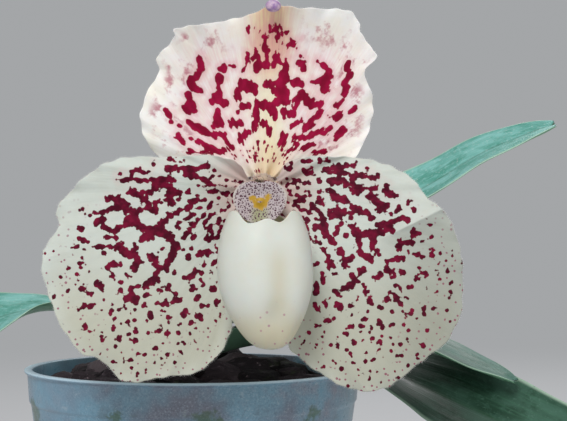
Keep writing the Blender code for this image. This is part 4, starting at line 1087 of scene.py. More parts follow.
def pouch_place(share, angle):
    """Right, up and forward on the pouch: its profile turned once, with ears, a tongue and a groove."""
    profile = curve(POUCH_PROFILE, 200)
    half, up = np.moveaxis(along(profile, share), -1, 0)
    front, beside = np.cos(angle), np.sin(angle)
    back = np.maximum(-front, 0) ** 1.5
    rim = np.maximum((share - 0.72) / 0.28, 0)
    turn = np.abs(angle)
    ears = smooth(0.34, 0.92, turn) * smooth(2.5, 1.5, turn)
    tongue = bell(turn, math.pi, 0.55)
    brow = bell(angle, 0.08, 0.22)
    up = up + rim**2 * MM * (2.3 * ears * (1 - 0.3 * smooth(0.9, 1.7, turn)) + 0.8 * brow + 3.4 * tongue)
    half = half * (1 - 0.12 * rim**4 * ears)
    deep = half * 0.92 * (1 - 0.08 * back)
    groove = 0.95 * MM * bell(angle, 0.34, 0.4) * np.sin(math.pi * np.minimum(share, 1)) ** 0.7
    dimple = 0.45 * MM * bell(angle, 0.1, 0.3) * bell(share, 0.36, 0.09)
    pressed = groove + dimple
    shift = 1.2 * MM * (1 - share) ** 2
    right = POUCH_RIGHT + shift + (half - pressed) * beside * (1 - 0.45 * rim * tongue)
    forward = POUCH_FORWARD + (deep - pressed) * front - 4.6 * MM * rim**1.6 * tongue
    return right, up, forward


def pouch_shape(rows, columns):
    """The pouch as a closed shell: its outside, and an inside one wall in, with a thinner rim."""
    share = np.linspace(0, 1, rows)[1:, None] ** 0.8
    angle = ((np.arange(columns) / columns) * 2 - 1)[None, :] * math.pi
    outside = from_flower(*pouch_place(share * np.ones_like(angle), angle * np.ones_like(share)))
    down = np.gradient(outside, axis=0)
    round_it = (np.roll(outside, -1, axis=1) - np.roll(outside, 1, axis=1)) / 2
    normal = np.cross(down, round_it)
    normal /= np.maximum(np.linalg.norm(normal, axis=-1, keepdims=True), 1e-12)
    if ((outside - outside.mean(axis=(0, 1))) * normal).sum() < 0:
        normal = -normal
    inside = outside - normal * POUCH_WALL * (1 - 0.6 * smooth(0.93, 1.0, share))[..., None]
    tip = from_flower(*pouch_place(np.zeros(1), np.zeros(1)))
    points = np.vstack([outside.reshape(-1, 3), tip, inside.reshape(-1, 3), tip + (0, 0, POUCH_WALL)])
    shares = np.tile(np.append(np.repeat(share[:, 0], columns), 0), 2)
    within = np.repeat((0, 1), len(points) // 2)
    return points, shell_faces(rows - 1, rows - 1, columns), shares, within


def heart_distance(right, up):
    """The distance in mm to a small V with thick arms, on the staminode."""
    strokes = ((0.5, -1.4, -1.8, 0, -3.7, 1.4, -1.8), (0.35, -0.9, -2.3, 0.9, -2.3))
    return blotch_distance(right, up, segments(strokes))


# Plant and pot shapes.


def leaf_shape(knots, width, roll, fold, rows=150, columns=33):
    """A closed strap leaf. Its section is a V that flattens along it and is thickest on the keel, and
    its width rises, holds and tapers to a notched tip."""
    line = curve(knots, 240)
    side, top = frames_along(line)
    at = np.linspace(0, 1, len(line))
    tilt = math.radians(roll) * smooth(0.27, 0.6, at)[:, None]
    side, top = side * np.cos(tilt) + top * np.sin(tilt), top * np.cos(tilt) - side * np.sin(tilt)
    length = np.linalg.norm(np.diff(line, axis=0), axis=1).sum()
    s = (np.linspace(0, 1, rows) ** 0.9)[:, None]
    t = np.sin(np.linspace(-1, 1, columns) * math.pi / 2)[None, :]
    broad = 0.42 + 0.58 * np.sin(np.minimum(s / 0.5, 1) * math.pi / 2)
    taper = 1 - 0.78 * np.maximum((s - 0.66) / 0.34, 0) ** 2.6
    half = 0.5 * width * MM * broad * taper
    lift = np.radians(fold + (52 - fold) * np.maximum(1 - s / 0.32, 0) ** 1.5)
    lobe = 0.45 * LEAF_NOTCH / length * (1 - np.abs(t)) ** 2 * np.maximum((s - 0.9) / 0.1, 0)
    bulge = 0.7 * MM / length * (1 - (2 * np.abs(t) - 1) ** 2) * np.maximum((s - 0.93) / 0.07, 0) ** 2
    where = s - lobe + bulge
    place, across, above = (along(row, where) for row in (line, side, top))
    over = np.clip(where - 1, 0, None)
    tail = (line[-1] - line[-4]) / np.linalg.norm(line[-1] - line[-4])
    wave = 0.25 * MM * np.sin(17 * s + 2.2 * t) * np.abs(t) ** 3
    wave = wave + 0.12 * MM * np.sin(41 * s) * np.abs(t) ** 6
    ribs = 0.05 * MM * np.cos(t * 21) * smooth(1.0, 0.9, s)
    groove = -0.3 * MM * bell(t, 0, 0.06) * smooth(1.0, 0.9, s)
    sheet = (
        place
        + over[..., None] * length * tail
        + (half * t * np.cos(lift))[..., None] * across
        + (half * np.abs(t) ** 1.4 * np.sin(lift) + wave)[..., None] * above
    )
    thick = LEAF_THICKNESS * (0.18 + 0.82 * (1 - np.abs(t) ** 4)) * (1 - 0.5 * smooth(0.97, 1, s))
    upper = sheet + (0.5 * thick + ribs + groove)[..., None] * above
    lower = sheet - (0.5 * thick + 0.5 * ribs)[..., None] * above
    ring = np.concatenate([upper, lower[:, ::-1]], axis=1)
    around = 2 * columns
    ends = np.vstack([sheet[0].mean(axis=0), sheet[-1, columns // 2]])
    points = np.vstack([ring.reshape(-1, 3), ends])
    fields = {
        "across": np.concatenate([np.tile(np.concatenate([t[0], t[0, ::-1]]), rows), [0, 0.5]]),
        "length": np.concatenate([np.repeat(s[:, 0] * length, around), [0, length]]),
        "under": np.concatenate([np.tile(np.repeat((0.0, 1.0), columns), rows), [0, 0]]),
    }
    return points, capped(rows, around), fields


def wall_radius(height, inset=0.0):
    """The outer radius of the pot's tapered body at a height, less an inset."""
    top = POT_BAND_RADIUS - POT_STEP
    return POT_BASE_RADIUS + (top - POT_BASE_RADIUS) * height / POT_STEP_HEIGHT - inset


def slot_bars():
    """Bars that cut the drainage slots."""
    reach = POT_BASE_RADIUS + 8 * MM - SLOT_INNER_RADIUS
    corner = np.array([(x, y, z) for x in (0, 1) for y in (-0.5, 0.5) for z in (-1, 1)], float)
    box = np.array(((0, 1, 3, 2), (4, 6, 7, 5), (0, 4, 5, 1), (2, 3, 7, 6), (0, 2, 6, 4), (1, 5, 7, 3)))
    shapes = []
    for i in range(SLOT_COUNT):
        a = (i + 0.5) * TURN / SLOT_COUNT
        bar = corner * (reach, SLOT_WIDTH, SLOT_HEIGHT) + (SLOT_INNER_RADIUS, 0, 0)
        x = bar[:, 0] * math.cos(a) - bar[:, 1] * math.sin(a)
        y = bar[:, 0] * math.sin(a) + bar[:, 1] * math.cos(a)
        shapes.append((np.stack([x, y, bar[:, 2]], axis=-1), [box]))
    return joined(shapes)


def bed_height(radius):
    """The mound of the bark: flat near its crown, falling towards the pot's wall."""
    share = np.minimum(radius / CHUNK_SPREAD, 1)
    return BED_CROWN_HEIGHT + (BED_EDGE_HEIGHT - BED_CROWN_HEIGHT) * share**2


def rock_shapes(centres, sizes, stretches, turns, tips, seed, rows, columns):
    """Angular chunks. Each way from its middle a chunk reaches the nearest of 11 drawn planes, less grit."""
    draw = np.random.default_rng(seed)
    count = len(centres)
    ways = ball_ways(rows, columns)
    planes = draw.normal(size=(count, 11, 3))
    planes /= np.linalg.norm(planes, axis=-1, keepdims=True)
    depth = draw.uniform(0.72, 1.0, (count, 11))
    facing = np.einsum("vk,cpk->cvp", ways, planes)
    reach = np.where(facing > 0.05, depth[:, None] / np.maximum(facing, 0.05), 9).min(axis=-1)
    local = ways[None] * np.minimum(reach, 1.25)[..., None]
    grit = [ripple(x * 5, y * 5 + z * 4, seed + i) for i, (x, y, z) in enumerate(np.moveaxis(local, -1, 1))]
    local = local * (1 + 0.045 * np.stack(grit)[..., None]) * stretches[:, None] * sizes[:, None, None]
    ct, st = np.cos(tips)[:, None], np.sin(tips)[:, None]
    y, z = local[..., 1] * ct - local[..., 2] * st, local[..., 1] * st + local[..., 2] * ct
    cz, sz = np.cos(turns)[:, None], np.sin(turns)[:, None]
    x, y = local[..., 0] * cz - y * sz, local[..., 0] * sz + y * cz
    points = np.stack([x, y, z], axis=-1) + centres[:, None]
    quads, *fans = capped(rows, columns)
    start = (np.arange(count) * len(ways))[:, None, None]
    faces = [(part + start).reshape(-1, part.shape[1]) for part in (quads, np.vstack(fans))]
    return points.reshape(-1, 3), faces


def chunk_places():
    """The solid's own chunks: places, sizes, stretches and turns, drawn in the same order."""
    draw = random.Random(7)
    golden = math.pi * (3 - math.sqrt(5))
    kept = []
    for i in range(CHUNK_COUNT):
        size = draw.uniform(*CHUNK_SIZE)
        radius = min(CHUNK_SPREAD * math.sqrt((i + 3.5) / (CHUNK_COUNT + 3)), CHUNK_SPREAD + 1.5 * MM - size)
        x, y = radius * math.cos(i * golden), radius * math.sin(i * golden)
        away = math.hypot((x - PLANT[0]) / HOLE_RADIUS[0], (y - PLANT[1]) / HOLE_RADIUS[1])
        if away > 1.35:
            stretch = (draw.uniform(0.9, 1.3), draw.uniform(0.7, 1), CHUNK_FLATNESS)
            for _ in range(33):
                draw.gauss(0, 1)
            z = float(bed_height(radius)) + 0.2 * MM
            kept.append((x, y, z, size, *stretch, draw.uniform(0, TURN), draw.uniform(-0.5, 0.5)))
    return np.array(kept)


# What a user would change.


def tint(name, description, *shown):
    """A colour of the panel, given in display steps."""
    return bpy.props.FloatVectorProperty(
        name=name, description=description, subtype="COLOR", size=4, default=srgb(*shown)
    )


def measure(name, description, default):
    """A length of the panel, given in mm."""
    return bpy.props.FloatProperty(name=name, description=description, default=default * MM, unit="LENGTH")


def steps(name, description, default):
    """A count of the panel."""
    return bpy.props.IntProperty(name=name, description=description, default=default)


class OrchidColours(bpy.types.PropertyGroup):
    petal_white: tint("Petal white", "Upper petals and sepal", 208, 214, 206)
    # the lower petals' cream is partly darkened as painted shade
    petal_cream_and_shade: tint("Petal cream", "Lower petals", 190, 190, 173)
    blotch: tint("Blotch", "Petal blotches", 124, 14, 50)
    blotch_dark: tint("Dark blotch", "Darkest part of a blotch", 76, 6, 30)
    sepal_blotch: tint("Sepal blotch", "Blotches of the upper sepal", 168, 16, 66)
    sepal_dark: tint("Dark sepal blotch", "Darkest part", 132, 8, 46)
    blush: tint("Blush", "Pink round the blotches", 226, 168, 170)
    leaf_pale: tint("Pale leaf", "Ground of the pale leaves", 92, 168, 152)
    leaf_dark: tint("Dark leaf", "Ground of the dark leaves", 40, 74, 56)
    pot_colour: tint("Pot", "Milky plastic", 114, 152, 172)
    bark_dark: tint("Bark", "Darkest bark", 28, 24, 26)


class OrchidSizes(bpy.types.PropertyGroup):
    petal_thickness: measure("Petal thickness", "At the middle of a petal", 0.9)
    hair_length: measure("Margin hair", "The longest hair on a margin", 0.55)
    blade_rings: steps("Blade rings", "Rings of a petal's front", 108)
    blade_sectors: steps("Blade sectors", "Steps round a petal's edge", 560)
    camera_distance: measure("Camera distance", "From the camera to the pot's axis", 312)


def colours():
    return bpy.context.scene.orchid_colours


def sizes():
    return bpy.context.scene.orchid_sizes


# Pieces.


class ORCHID_OT_stage(bpy.types.Operator):
    """Adds the pale floor, the soft lights, the pale surroundings and the camera"""

    bl_idname = "orchid.stage"
    bl_label = "Stage"

    def execute(self, context):
        scene = context.scene
        scene.view_settings.view_transform = "Standard"
        self.floor(scene, 4.0, 96)
        world = bpy.data.worlds.new("surroundings")
        scene.world = world
        world.use_nodes = True
        sky = world.node_tree.nodes["Background"].inputs
        sky["Color"].default_value = SKY_COLOUR
        sky["Strength"].default_value = SKY_STRENGTH
        for name, place, watts, size in LAMPS:
            self.lamp(scene, name, place, watts, size)
        view = bpy.data.cameras.new("camera")
        view.sensor_width = 36
        view.lens = CAMERA_LENS
        view.clip_start = 10 * MM
        camera = bpy.data.objects.new("camera", view)
        camera.location = (CAMERA_RIGHT, -sizes().camera_distance, CAMERA_HEIGHT)
        camera.rotation_euler = (math.radians(90 + CAMERA_UPTURN), 0, 0)
        scene.collection.objects.link(camera)
        scene.camera = camera
        return {"FINISHED"}

    def floor(self, scene, radius, sides):
        """A round floor, lit grey near the pot and an even glow far off, so that no horizon shows."""
        a = np.arange(sides) * TURN / sides
        points = np.vstack([np.stack([radius * np.cos(a), radius * np.sin(a), 0 * a], axis=-1), (0, 0, 0)])
        mesh = bpy.data.meshes.new("floor")
        mesh.from_pydata(points.tolist(), [], fan_faces(sides, 0, sides).tolist())
        look = Finish("floor", 0.8, specular_ior_level=0.0, emission_color=(0.37, 0.38, 0.39, 1))
        away = look.node("VectorMath", {0: look.place()}, operation="LENGTH")["Value"]
        far = look.between(away, 0.2, 1.0)
        look.colour(look.mix(far, (0.68, 0.68, 0.69, 1), (0, 0, 0, 1)))
        look.feed(look.shader.inputs["Emission Strength"], far)
        mesh.materials.append(look.material)
        floor = bpy.data.objects.new("floor", mesh)
        scene.collection.objects.link(floor)

    def lamp(self, scene, name, place, watts, size):
        """A round soft light turned to the middle of the plant."""
        light = bpy.data.lights.new(name, "AREA")
        light.shape = "DISK"
        light.size = size
        light.energy = watts
        lamp = bpy.data.objects.new(name, light)
        lamp.location = place
        away = np.array(place) - LAMP_AIM
        tilt = math.acos(away[2] / np.linalg.norm(away))
        lamp.rotation_euler = (tilt, 0, math.atan2(away[1], away[0]) + TURN / 4)
        scene.collection.objects.link(lamp)


class ORCHID_OT_pot(bpy.types.Operator):
    """Adds the thin milky pot with its lip, band, step and drainage slots"""

    bl_idname = "orchid.pot"
    bl_label = "Pot"

    def execute(self, context):
        band_top = POT_HEIGHT - POT_LIP_DEPTH
        profile = [
            (0, 0),
            (POT_BASE_RADIUS, 0),
            (wall_radius(POT_STEP_HEIGHT), POT_STEP_HEIGHT),
            (POT_BAND_RADIUS - 0.4 * MM, POT_STEP_HEIGHT + 0.5 * MM),
            (POT_BAND_RADIUS, band_top),
            (POT_BAND_RADIUS + 0.1 * MM, band_top + 0.4 * MM),
            (POT_LIP_RADIUS, band_top + 0.7 * MM),
            (POT_LIP_RADIUS, POT_HEIGHT),
            (POT_BAND_RADIUS - POT_WALL, POT_HEIGHT),
            (POT_BAND_RADIUS - POT_WALL - 0.4 * MM, POT_STEP_HEIGHT + 0.5 * MM),
            (wall_radius(POT_STEP_HEIGHT, POT_WALL), POT_STEP_HEIGHT - 0.5 * MM),
            (wall_radius(POT_FLOOR, POT_WALL), POT_FLOOR),
            (0, POT_FLOOR),
        ]
        profile = rounded(profile, POT_ROUNDING)
        dense = [profile[0]]
        for a, b in zip(profile[:-1], profile[1:]):
            parts = max(int(np.linalg.norm(b - a) / (1.5 * MM)), 1)
            dense += [a + (b - a) * k / parts for k in range(1, parts + 1)]
        points, faces = lathe_shape(np.array(dense), 144)
        below_top = (POT_HEIGHT - points[:, 2]) / MM
        away = np.hypot(points[:, 0], points[:, 1]) / MM
        fields = {
            # where the top edge of the lip is painted paler as a highlight
            "lip": smooth(0.45, 0.2, below_top) * smooth(35.6, 36.6, away),
            "algae": self.algae(points),
            # painted light on the pot's left side
            "painted_light_left": 0.5 * smooth(-12 * MM, -30 * MM, points[:, 0]),
        }
        pot = new_piece("milky_pot", "pot_plastic", points, faces, pot_finish(), ("pot",), fields)
        bars, sides = slot_bars()
        mesh = bpy.data.meshes.new("slot_bars")
        mesh.from_pydata(bars.tolist(), [], np.vstack(sides).tolist())
        cutter = bpy.data.objects.new("slot_bars", mesh)
        context.scene.collection.objects.link(cutter)
        cut = pot.modifiers.new("slots", "BOOLEAN")
        cut.operation = "DIFFERENCE"
        cut.solver = "EXACT"
        cut.object = cutter
        context.view_layer.objects.active = pot
        bpy.ops.object.modifier_apply(modifier=cut.name)
        bpy.data.objects.remove(cutter, do_unlink=True)
        pot.data.shade_smooth()
        pot.data.set_sharp_from_angle(angle=math.radians(35))
        return {"FINISHED"}

    def algae(self, points):
        """How green each place may be: spots drawn round the pot, mostly at its step and low down."""
        draw = np.random.default_rng(13)
        turns = np.concatenate([np.radians((-112, -82, -44, -158)), draw.uniform(0, TURN, 22)])
        heights = np.concatenate([(57.5, 56.5, 57.5, 56), 57 - 57 * draw.uniform(0, 1, 22) ** 0.7]) * MM
        spreads = np.concatenate([(2.2, 3.0, 2.4, 3.0), draw.uniform(1.5, 4, 22)]) * MM
        total = 0.25 * smooth(14 * MM, 2 * MM, points[:, 2])
        for turn, height, spread in zip(turns, heights, spreads):
            radius = wall_radius(height)
            middle = (radius * math.cos(turn), radius * math.sin(turn), height)
            total = total + np.exp(-((points - middle) ** 2).sum(axis=1) / (2 * spread**2))
        return np.clip(total, 0, 1)


class ORCHID_OT_bark(bpy.types.Operator):
    """Adds the bed of bark, its large chunks and the crumbs between them, and colours the roots under it"""

    bl_idname = "orchid.bark"
    bl_label = "Bark"

    def execute(self, context):
        draw = np.random.default_rng(17)
        bed = self.bed(POT_WALL + 0.4 * MM, POT_FLOOR + 0.4 * MM, BED_SINK)
        big, rows, columns = chunk_places(), 24, 36
        stretch = big[:, 4:7] * (1, 1, 1.15)
        chunks = rock_shapes(big[:, :3], big[:, 3], stretch, big[:, 7], big[:, 8], 31, rows, columns)
        # the bed between the chunks is held at a dark tone as painted shade between them; each chunk gets
        # its own random tone
        tones = [np.full(len(bed[0]), 0.1), np.repeat(draw.uniform(0, 1, len(big)), rows * columns + 2)]
        crumbs, tone = self.crumbs(draw, CRUMB_COUNT, 12, 18)
        points, faces = joined([bed, chunks, crumbs])
        fields = {"tone": np.concatenate([*tones, tone])}
        bark = new_piece("bark", "bark", points, faces, bark_finish(), ("potting_bark",), fields)
        bark.data.set_sharp_from_angle(angle=math.radians(30))
        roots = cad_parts["roots"]
        roots.data.materials.clear()
        root_skin = plain_tissue("root_hair", (92, 66, 40), (60, 42, 28), 0.85, depth=0.3 * MM)
        roots.data.materials.append(root_skin)
        return {"FINISHED"}

    def bed(self, inset, bottom, sunk):
        """The bark's bed fills the pot to an inset from its wall, its lumpy top sunk under the chunks."""
        side = [(wall_radius(h, inset), h) for h in np.linspace(bottom, BED_EDGE_HEIGHT - 2 * MM, 30)]
        radii = np.linspace(wall_radius(POT_STEP_HEIGHT, inset) * 0.97, 0, 60)[:-1]
        top = [(r, float(bed_height(r)) - sunk) for r in radii]
        points, faces = lathe_shape(np.array([(0, bottom), *side, *top, (0, BED_CROWN_HEIGHT - sunk)]), 160)
        x, y, z = points.T
        lump = ripple(x / (1.8 * MM), y / (1.8 * MM) + z / (2.1 * MM), 21, 12)
        points[:, 2] += 0.6 * MM * lump * smooth(BED_EDGE_HEIGHT - 3 * MM, BED_EDGE_HEIGHT, z)
        return points, faces

    def crumbs(self, draw, count, rows, columns):
        """Small chunks all over the bed but where the plant stands, and their tones."""
        radius = CRUMB_SPREAD * np.sqrt(draw.uniform(0, 1, count))
        turn = draw.uniform(0, TURN, count)
        size = draw.uniform(*CRUMB_SIZE, count)
        radius = np.minimum(radius, CRUMB_SPREAD + 0.6 * MM - size)
        x, y = radius * np.cos(turn), radius * np.sin(turn)
        away = np.hypot((x - PLANT[0]) / (9.2 * MM), (y - PLANT[1]) / (6.6 * MM))
        clear = away > 1 + size / (14 * MM)
        places = np.stack([x, y, bed_height(radius) - CRUMB_SINK], axis=-1)
        stretch = [draw.uniform(*ends, count) for ends in ((0.8, 1.3), (0.6, 1), (0.5, 0.9))]
        turns, tips = draw.uniform(0, TURN, count), draw.uniform(-0.7, 0.7, count)
        kept = (each[clear] for each in (places, size, np.stack(stretch, axis=-1), turns, tips))
        shape = rock_shapes(*kept, 90, rows, columns)
        return shape, np.repeat(draw.uniform(0, 1, clear.sum()), rows * columns + 2)


class ORCHID_OT_leaves(bpy.types.Operator):
    """Adds the five strap leaves and the bundle of their bases"""

    bl_idname = "orchid.leaves"
    bl_label = "Leaves"

    def execute(self, context):
        for node, (knots, width, roll, fold, dark) in LEAVES.items():
            points, faces, fields = leaf_shape(knots, width, roll, fold)
            finish = leaf_finish(node + "_green", dark)
            new_piece(node + "_blade", "leaf", points, faces, finish, (node,), fields)
        rows, sides = 60, 72
        s = np.linspace(0, 1, rows)
        share, wide, deep = np.array(CROWN_SECTIONS).T
        wide, deep = (np.interp(s, share, half)[:, None] * MM for half in (wide, deep))
        s, a = s[:, None], np.arange(sides)[None, :] * TURN / sides
        ridged = 1 + 0.04 * np.cos(6 * a) + 0.035 * np.abs(np.cos(1.5 * a + 5 * s)) + 0.006 * np.cos(48 * a)
        height = CROWN_BOTTOM + s * (CROWN_TOP - CROWN_BOTTOM) + 0 * a
        ring = np.stack([wide * ridged * np.cos(a), deep * ridged * np.sin(a), height], axis=-1)
        points = np.vstack([ring.reshape(-1, 3), (0, 0, CROWN_BOTTOM), (0, 0, CROWN_TOP)]) + PLANT
        finish = plain_tissue("leaf_bases", (128, 152, 100), (96, 128, 84), 0.5)
        new_piece("leaf_base_bundle", "leaf_base", points, capped(rows, sides), finish, ("crown",))
        return {"FINISHED"}


class ORCHID_OT_stalk(bpy.types.Operator):
    """Adds the hairy flower stalk, the bract and the ribbed ovary"""

    bl_idname = "orchid.stalk"
    bl_label = "Stalk"

    def execute(self, context):
        stalk, neck = curve(SCAPE_LINE, 60), curve(OVARY_LINE, 90)
        green = plain_tissue("stalk_skin", (112, 110, 62), (104, 62, 60), 0.7, (78, 26, 42), 300.0)
        new_piece("stalk", "scape", *tube_shape(stalk, self.scape_radius, 40), green, ("scape",))
        skin = plain_tissue("ovary_skin", (138, 104, 78), (104, 50, 58), 0.7, (78, 26, 42), 260.0)
        new_piece("ribbed_ovary", "ovary", *tube_shape(neck, self.ovary_radius, 72), skin, ("ovary",))
        self.bract(neck, 60, 36)
        for name, slot, line, radius_at, seed in (
            ("stalk_hairs", "scape", stalk, self.scape_radius, 41),
            ("ovary_hairs", "ovary", neck[: int(0.93 * len(neck))], self.ovary_radius, 42),
        ):
            draw = np.random.default_rng(seed)
            hairs = tube_hairs(draw, line, radius_at, 900, (0.02, 0.98), (0, TURN), 0.35, (0.4, 0.9))
            new_piece(name, slot, *hairs, hair_finish(name + "_tone", (150, 110, 104)))
        return {"FINISHED"}

    def scape_radius(self, s, a):
        return 1.6 * MM * (1.15 - 0.15 * s) * (1 + 0.02 * np.cos(9 * a + 14 * s))

    def ovary_radius(self, s, a):
        swell = np.interp(s, (0, 0.3, 0.6, 0.85, 1), (1.5, 2.1, 2.5, 2.6, 3.6)) * MM
        return swell * (1 + 0.09 * np.cos(6 * a) * np.sin(math.pi * np.clip(s, 0, 0.9) / 0.9))

    def bract(self, neck, rows, columns):
        """A boat-shaped sheath: reach(s) round the line over an arc that narrows to its point."""
        line = along(neck, np.linspace(0, 0.61, rows))
        side, top = frames_along(line)
        s = np.linspace(0, 1, rows)[:, None]
        c = np.linspace(-1, 1, columns)[None, :]
        a = -math.pi / 2 + c * np.radians(115 * (1 - s) ** 0.6 + 8)
        sides = []
        for half in (0.3 * MM, -0.3 * MM):
            reach = (2.6 + 1.7 * s) * MM + half * (1 - 0.6 * np.abs(c) ** 4) + 0.05 * MM * np.cos(a * 20)
            across, above = (reach * np.cos(a))[..., None], (reach * np.sin(a))[..., None]
            sides.append(line[:, None] + across * side[:, None] + above * top[:, None])
        ring = np.concatenate([sides[0], sides[1][:, ::-1]], axis=1)
        points = np.vstack([ring.reshape(-1, 3), ring[0].mean(axis=0), ring[-1].mean(axis=0)])
        finish = plain_tissue("bract_skin", (150, 152, 92), (122, 128, 70), 0.55, (110, 40, 60), 260.0)
        new_piece("bract_sheath", "bract", points, capped(rows, 2 * columns), finish, ("bract",))


class ORCHID_OT_sepals(bpy.types.Operator):
    """Adds the spotted upper sepal with its tip, and the plain lower one behind the pouch"""

    bl_idname = "orchid.sepals"
    bl_label = "Sepals"

    def execute(self, context):
        c = colours()
        finish = petal_finish(
            "sepal_tissue", c.sepal_blotch, c.sepal_dark, srgb(255, 254, 250), srgb(242, 230, 176),
            srgb(226, 146, 158), True,
        )
        fields = dorsal_fields()
        edge = blade("upper_sepal", DORSAL_OUTLINE, dorsal_forward, finish, ("dorsal_sepal",), fields)
        white = hair_finish("margin_hair", (236, 232, 232))
        margin_hairs("upper_sepal_hairs", edge, dorsal_forward, 51, 900, white)
        tip = plain_tissue("sepal_tip", (146, 112, 168), (214, 188, 206), 0.5, scale=700.0)
        new_piece("upper_sepal_tip", "petal", *ball_shape((2.1, 33.5, 12.3), (1.45, 1.15, 1.2)), tip)
        low = petal_finish(
            "lower_sepal_tissue", c.blotch, c.blotch_dark, srgb(222, 220, 190), srgb(196, 202, 150), c.blush
        )
        blade("lower_sepal", SYNSEPAL_OUTLINE, synsepal_forward, low, ("synsepal",), plain_fields, 50, 160)
        return {"FINISHED"}


class ORCHID_OT_petals(bpy.types.Operator):
    """Adds the two round drooping petals with their blotches and hairy margins"""

    bl_idname = "orchid.petals"
    bl_label = "Petals"

    def execute(self, context):
        c = colours()
        finish = petal_finish("petal_tissue", c.blotch, c.blotch_dark, c.petal_white, c.petal_cream_and_shade, c.blush)
        white = hair_finish("petal_margin_hair", (240, 238, 230))
        for name, outline, strokes, side, seed in (
            ("petal_left", LEFT_PETAL_OUTLINE, LEFT_PETAL_BLOTCHES, -1, 61),
            ("petal_right", RIGHT_PETAL_OUTLINE, RIGHT_PETAL_BLOTCHES, 1, 62),
        ):
            fields = petal_fields(strokes, outline, side, seed)
            edge = blade(name + "_blade", outline, petal_forward, finish, (name,), fields)
            margin_hairs(name + "_hairs", edge, petal_forward, seed, 1500, white)
        return {"FINISHED"}


class ORCHID_OT_lip(bpy.types.Operator):
    """Adds the ivory pouch"""

    bl_idname = "orchid.lip"
    bl_label = "Lip"

    def execute(self, context):
        points, faces, share, within = pouch_shape(120, 150)
        right = (points[:, 0] - FLOWER[0]) / MM
        # painted shade along the groove right of the pouch's middle, laid into the cream field
        hollow = bell(right, 3.2, 2.3) * smooth(0.3, 0.5, share) * smooth(0.95, 0.7, share) * (1 - within)
        fields = {
            "warm": np.clip(0.85 * smooth(0.55, 0.2, share) + 0.6 * within + 0.55 * hollow, 0, 1),
            "green": 0.5 * within * smooth(0.5, 0.9, share),
            "dots": smooth(0.5, 0.35, share) * smooth(-6, 2, right) * (1 - within) + 0.9 * within,
        }
        new_piece("pouch", "lip", points, faces, lip_finish(), ("lip_pouch",), fields)
        return {"FINISHED"}


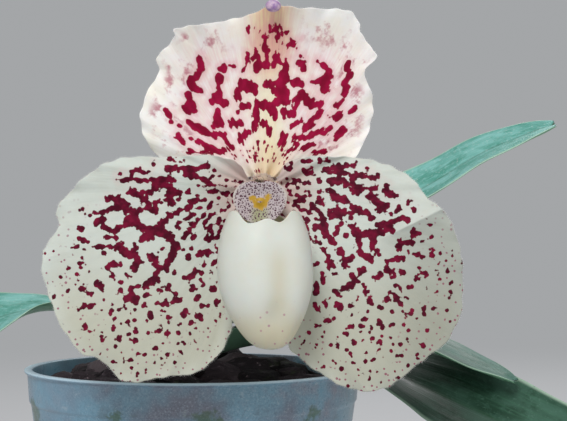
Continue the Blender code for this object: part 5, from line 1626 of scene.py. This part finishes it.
class ORCHID_OT_column(bpy.types.Operator):
    """Adds the column with its anthers, stigma and downy hood, the dotted staminode and the tuft above it"""

    bl_idname = "orchid.column"
    bl_label = "Column"

    def execute(self, context):
        line = from_flower(*(np.array([(0, 0, 0.3), (0, 0.1, 4), (0, 0.2, 8), (0, 0, 12)]) * MM).T)
        line = evenly(hermite(line, closed=False), 40)
        shapes = [tube_shape(line, self.radius, 48)]
        shapes += [ball_shape((x, 0.2, 7.6), (1.2, 1.3, 1.7)) for x in (-2.5, 2.5)]
        shapes.append(ball_shape((0, -2.6, 9.4), (1.9, 1.1, 1.5)))
        shapes.append(ball_shape(HOOD_MIDDLE, HOOD_RADII, 24, 36))
        tan = plain_tissue("column_skin", (208, 192, 166), (188, 160, 136), 0.6, (130, 80, 84), 420.0)
        new_piece("column_stem", "column", *joined(shapes), tan, ("column",))
        self.shield(140)
        draw = np.random.default_rng(71)
        over = (0.1, math.pi - 0.1)
        hairs = tube_hairs(draw, line, self.radius, 700, (0.05, 1.0), over, 0.4, (0.3, 0.8))
        new_piece("column_hairs", "column", *hairs, hair_finish("column_hair", (176, 130, 110)))
        self.down(draw, 900, over)
        self.tuft(draw, 60)
        return {"FINISHED"}

    def radius(self, s, a):
        return np.interp(s, (0, 0.2, 0.7, 1), (2, 2, 2.5, 1.9)) * MM * (1 + 0.02 * np.cos(7 * a))

    def down(self, draw, count, over):
        """Pale brown down over the hood."""
        turn, lift = draw.uniform(*over, count), draw.uniform(0.15, math.pi - 0.15, count)
        out = np.stack([np.cos(turn), np.sin(turn) * np.sin(lift), np.sin(turn) * np.cos(lift)], axis=-1)
        base = from_flower(*((HOOD_MIDDLE + (np.array(HOOD_RADII) - 0.05) * out) * MM).T)
        ways = np.stack([out[:, 0], -out[:, 2], out[:, 1]], axis=-1) + draw.normal(0, 0.35, (count, 3))
        hairs = hair_shape(base, ways, draw.uniform(0.25, 0.6, count) * MM, 0.025 * MM)
        new_piece("hood_down", "column", *hairs, hair_finish("hood_down", (172, 142, 120)))

    def tuft(self, draw, count):
        """A dark tuft where the hood meets the shield."""
        spots = draw.normal(0, 1, (count, 2)) * (0.55, 0.3) + (-0.6, 1.2)
        base = from_flower(*(spots * MM).T, np.full(count, 12.2 * MM))
        ways = np.stack([draw.normal(*way, count) for way in ((0, 0.5), (-0.6, 0.3), (0.5, 0.4))], axis=-1)
        hairs = hair_shape(base, ways, draw.uniform(0.4, 0.9, count) * MM, 0.05 * MM)
        look = Finish("tuft", 0.7)
        look.colour(srgb(52, 22, 28))
        new_piece("hood_tuft", "column", *hairs, look.material)

    def shield(self, sides):
        """The staminode: a dished disc, forward 0.5 + 0.9 out^2 mm, leaning forward as it goes down."""

        def forward_at(right, up, out, back):
            high = up / MM
            ridge = bell(right, 0, 0.7 * MM) * smooth(-6, -2, high) * smooth(1.5, 0, np.abs(high + 2.4))
            half = (0.5 - back) * 0.8 * MM * (1 - 0.7 * out**6)
            return 12.6 * MM + 0.9 * MM * out**2 - 0.08 * up + half + 0.5 * MM * ridge * (1 - back)

        edge = curve(STAMINODE_OUTLINE, sides, closed=True)
        points, faces, flat, _, _ = plate(edge, (40, 40), forward_at)
        right, up = flat.T / MM
        fields = {
            "heart": heart_distance(*flat.T),
            "green": 0.8 * smooth(-3.0, -4.4, up) * smooth(2.4, 0.6, np.abs(right)),
            "edge": smooth(0.9, 1.08, np.hypot(right / 4.6, (up + 2.4) / 4.2)),
        }
        points = points - (0.3 * MM, 0, 0)
        new_piece("staminode_shield", "staminode", points, faces, staminode_finish(), ("staminode",), fields)


STEPS = (
    ORCHID_OT_stage,
    ORCHID_OT_pot,
    ORCHID_OT_bark,
    ORCHID_OT_leaves,
    ORCHID_OT_stalk,
    ORCHID_OT_sepals,
    ORCHID_OT_petals,
    ORCHID_OT_lip,
    ORCHID_OT_column,
)


class ORCHID_PT_panel(bpy.types.Panel):
    """Lists the pieces, sizes and colours"""

    bl_label = "Orchid"
    bl_idname = "ORCHID_PT_panel"
    bl_space_type = "VIEW_3D"
    bl_region_type = "UI"
    bl_category = "Orchid"

    def draw(self, context):
        for group in (context.scene.orchid_sizes, context.scene.orchid_colours):
            for key in group.__annotations__:
                self.layout.prop(group, key)
        for step in STEPS:
            self.layout.operator(step.bl_idname)


CLASSES = (OrchidColours, OrchidSizes, *STEPS, ORCHID_PT_panel)


def register():
    for each in CLASSES:
        bpy.utils.register_class(each)
    bpy.types.Scene.orchid_colours = bpy.props.PointerProperty(type=OrchidColours)
    bpy.types.Scene.orchid_sizes = bpy.props.PointerProperty(type=OrchidSizes)


def unregister():
    del bpy.types.Scene.orchid_sizes
    del bpy.types.Scene.orchid_colours
    for each in reversed(CLASSES):
        bpy.utils.unregister_class(each)


def main():
    register()
    for step in STEPS:
        family, name = step.bl_idname.split(".")
        getattr(getattr(bpy.ops, family), name)()
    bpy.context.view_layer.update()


if __name__ == "__main__":
    main()
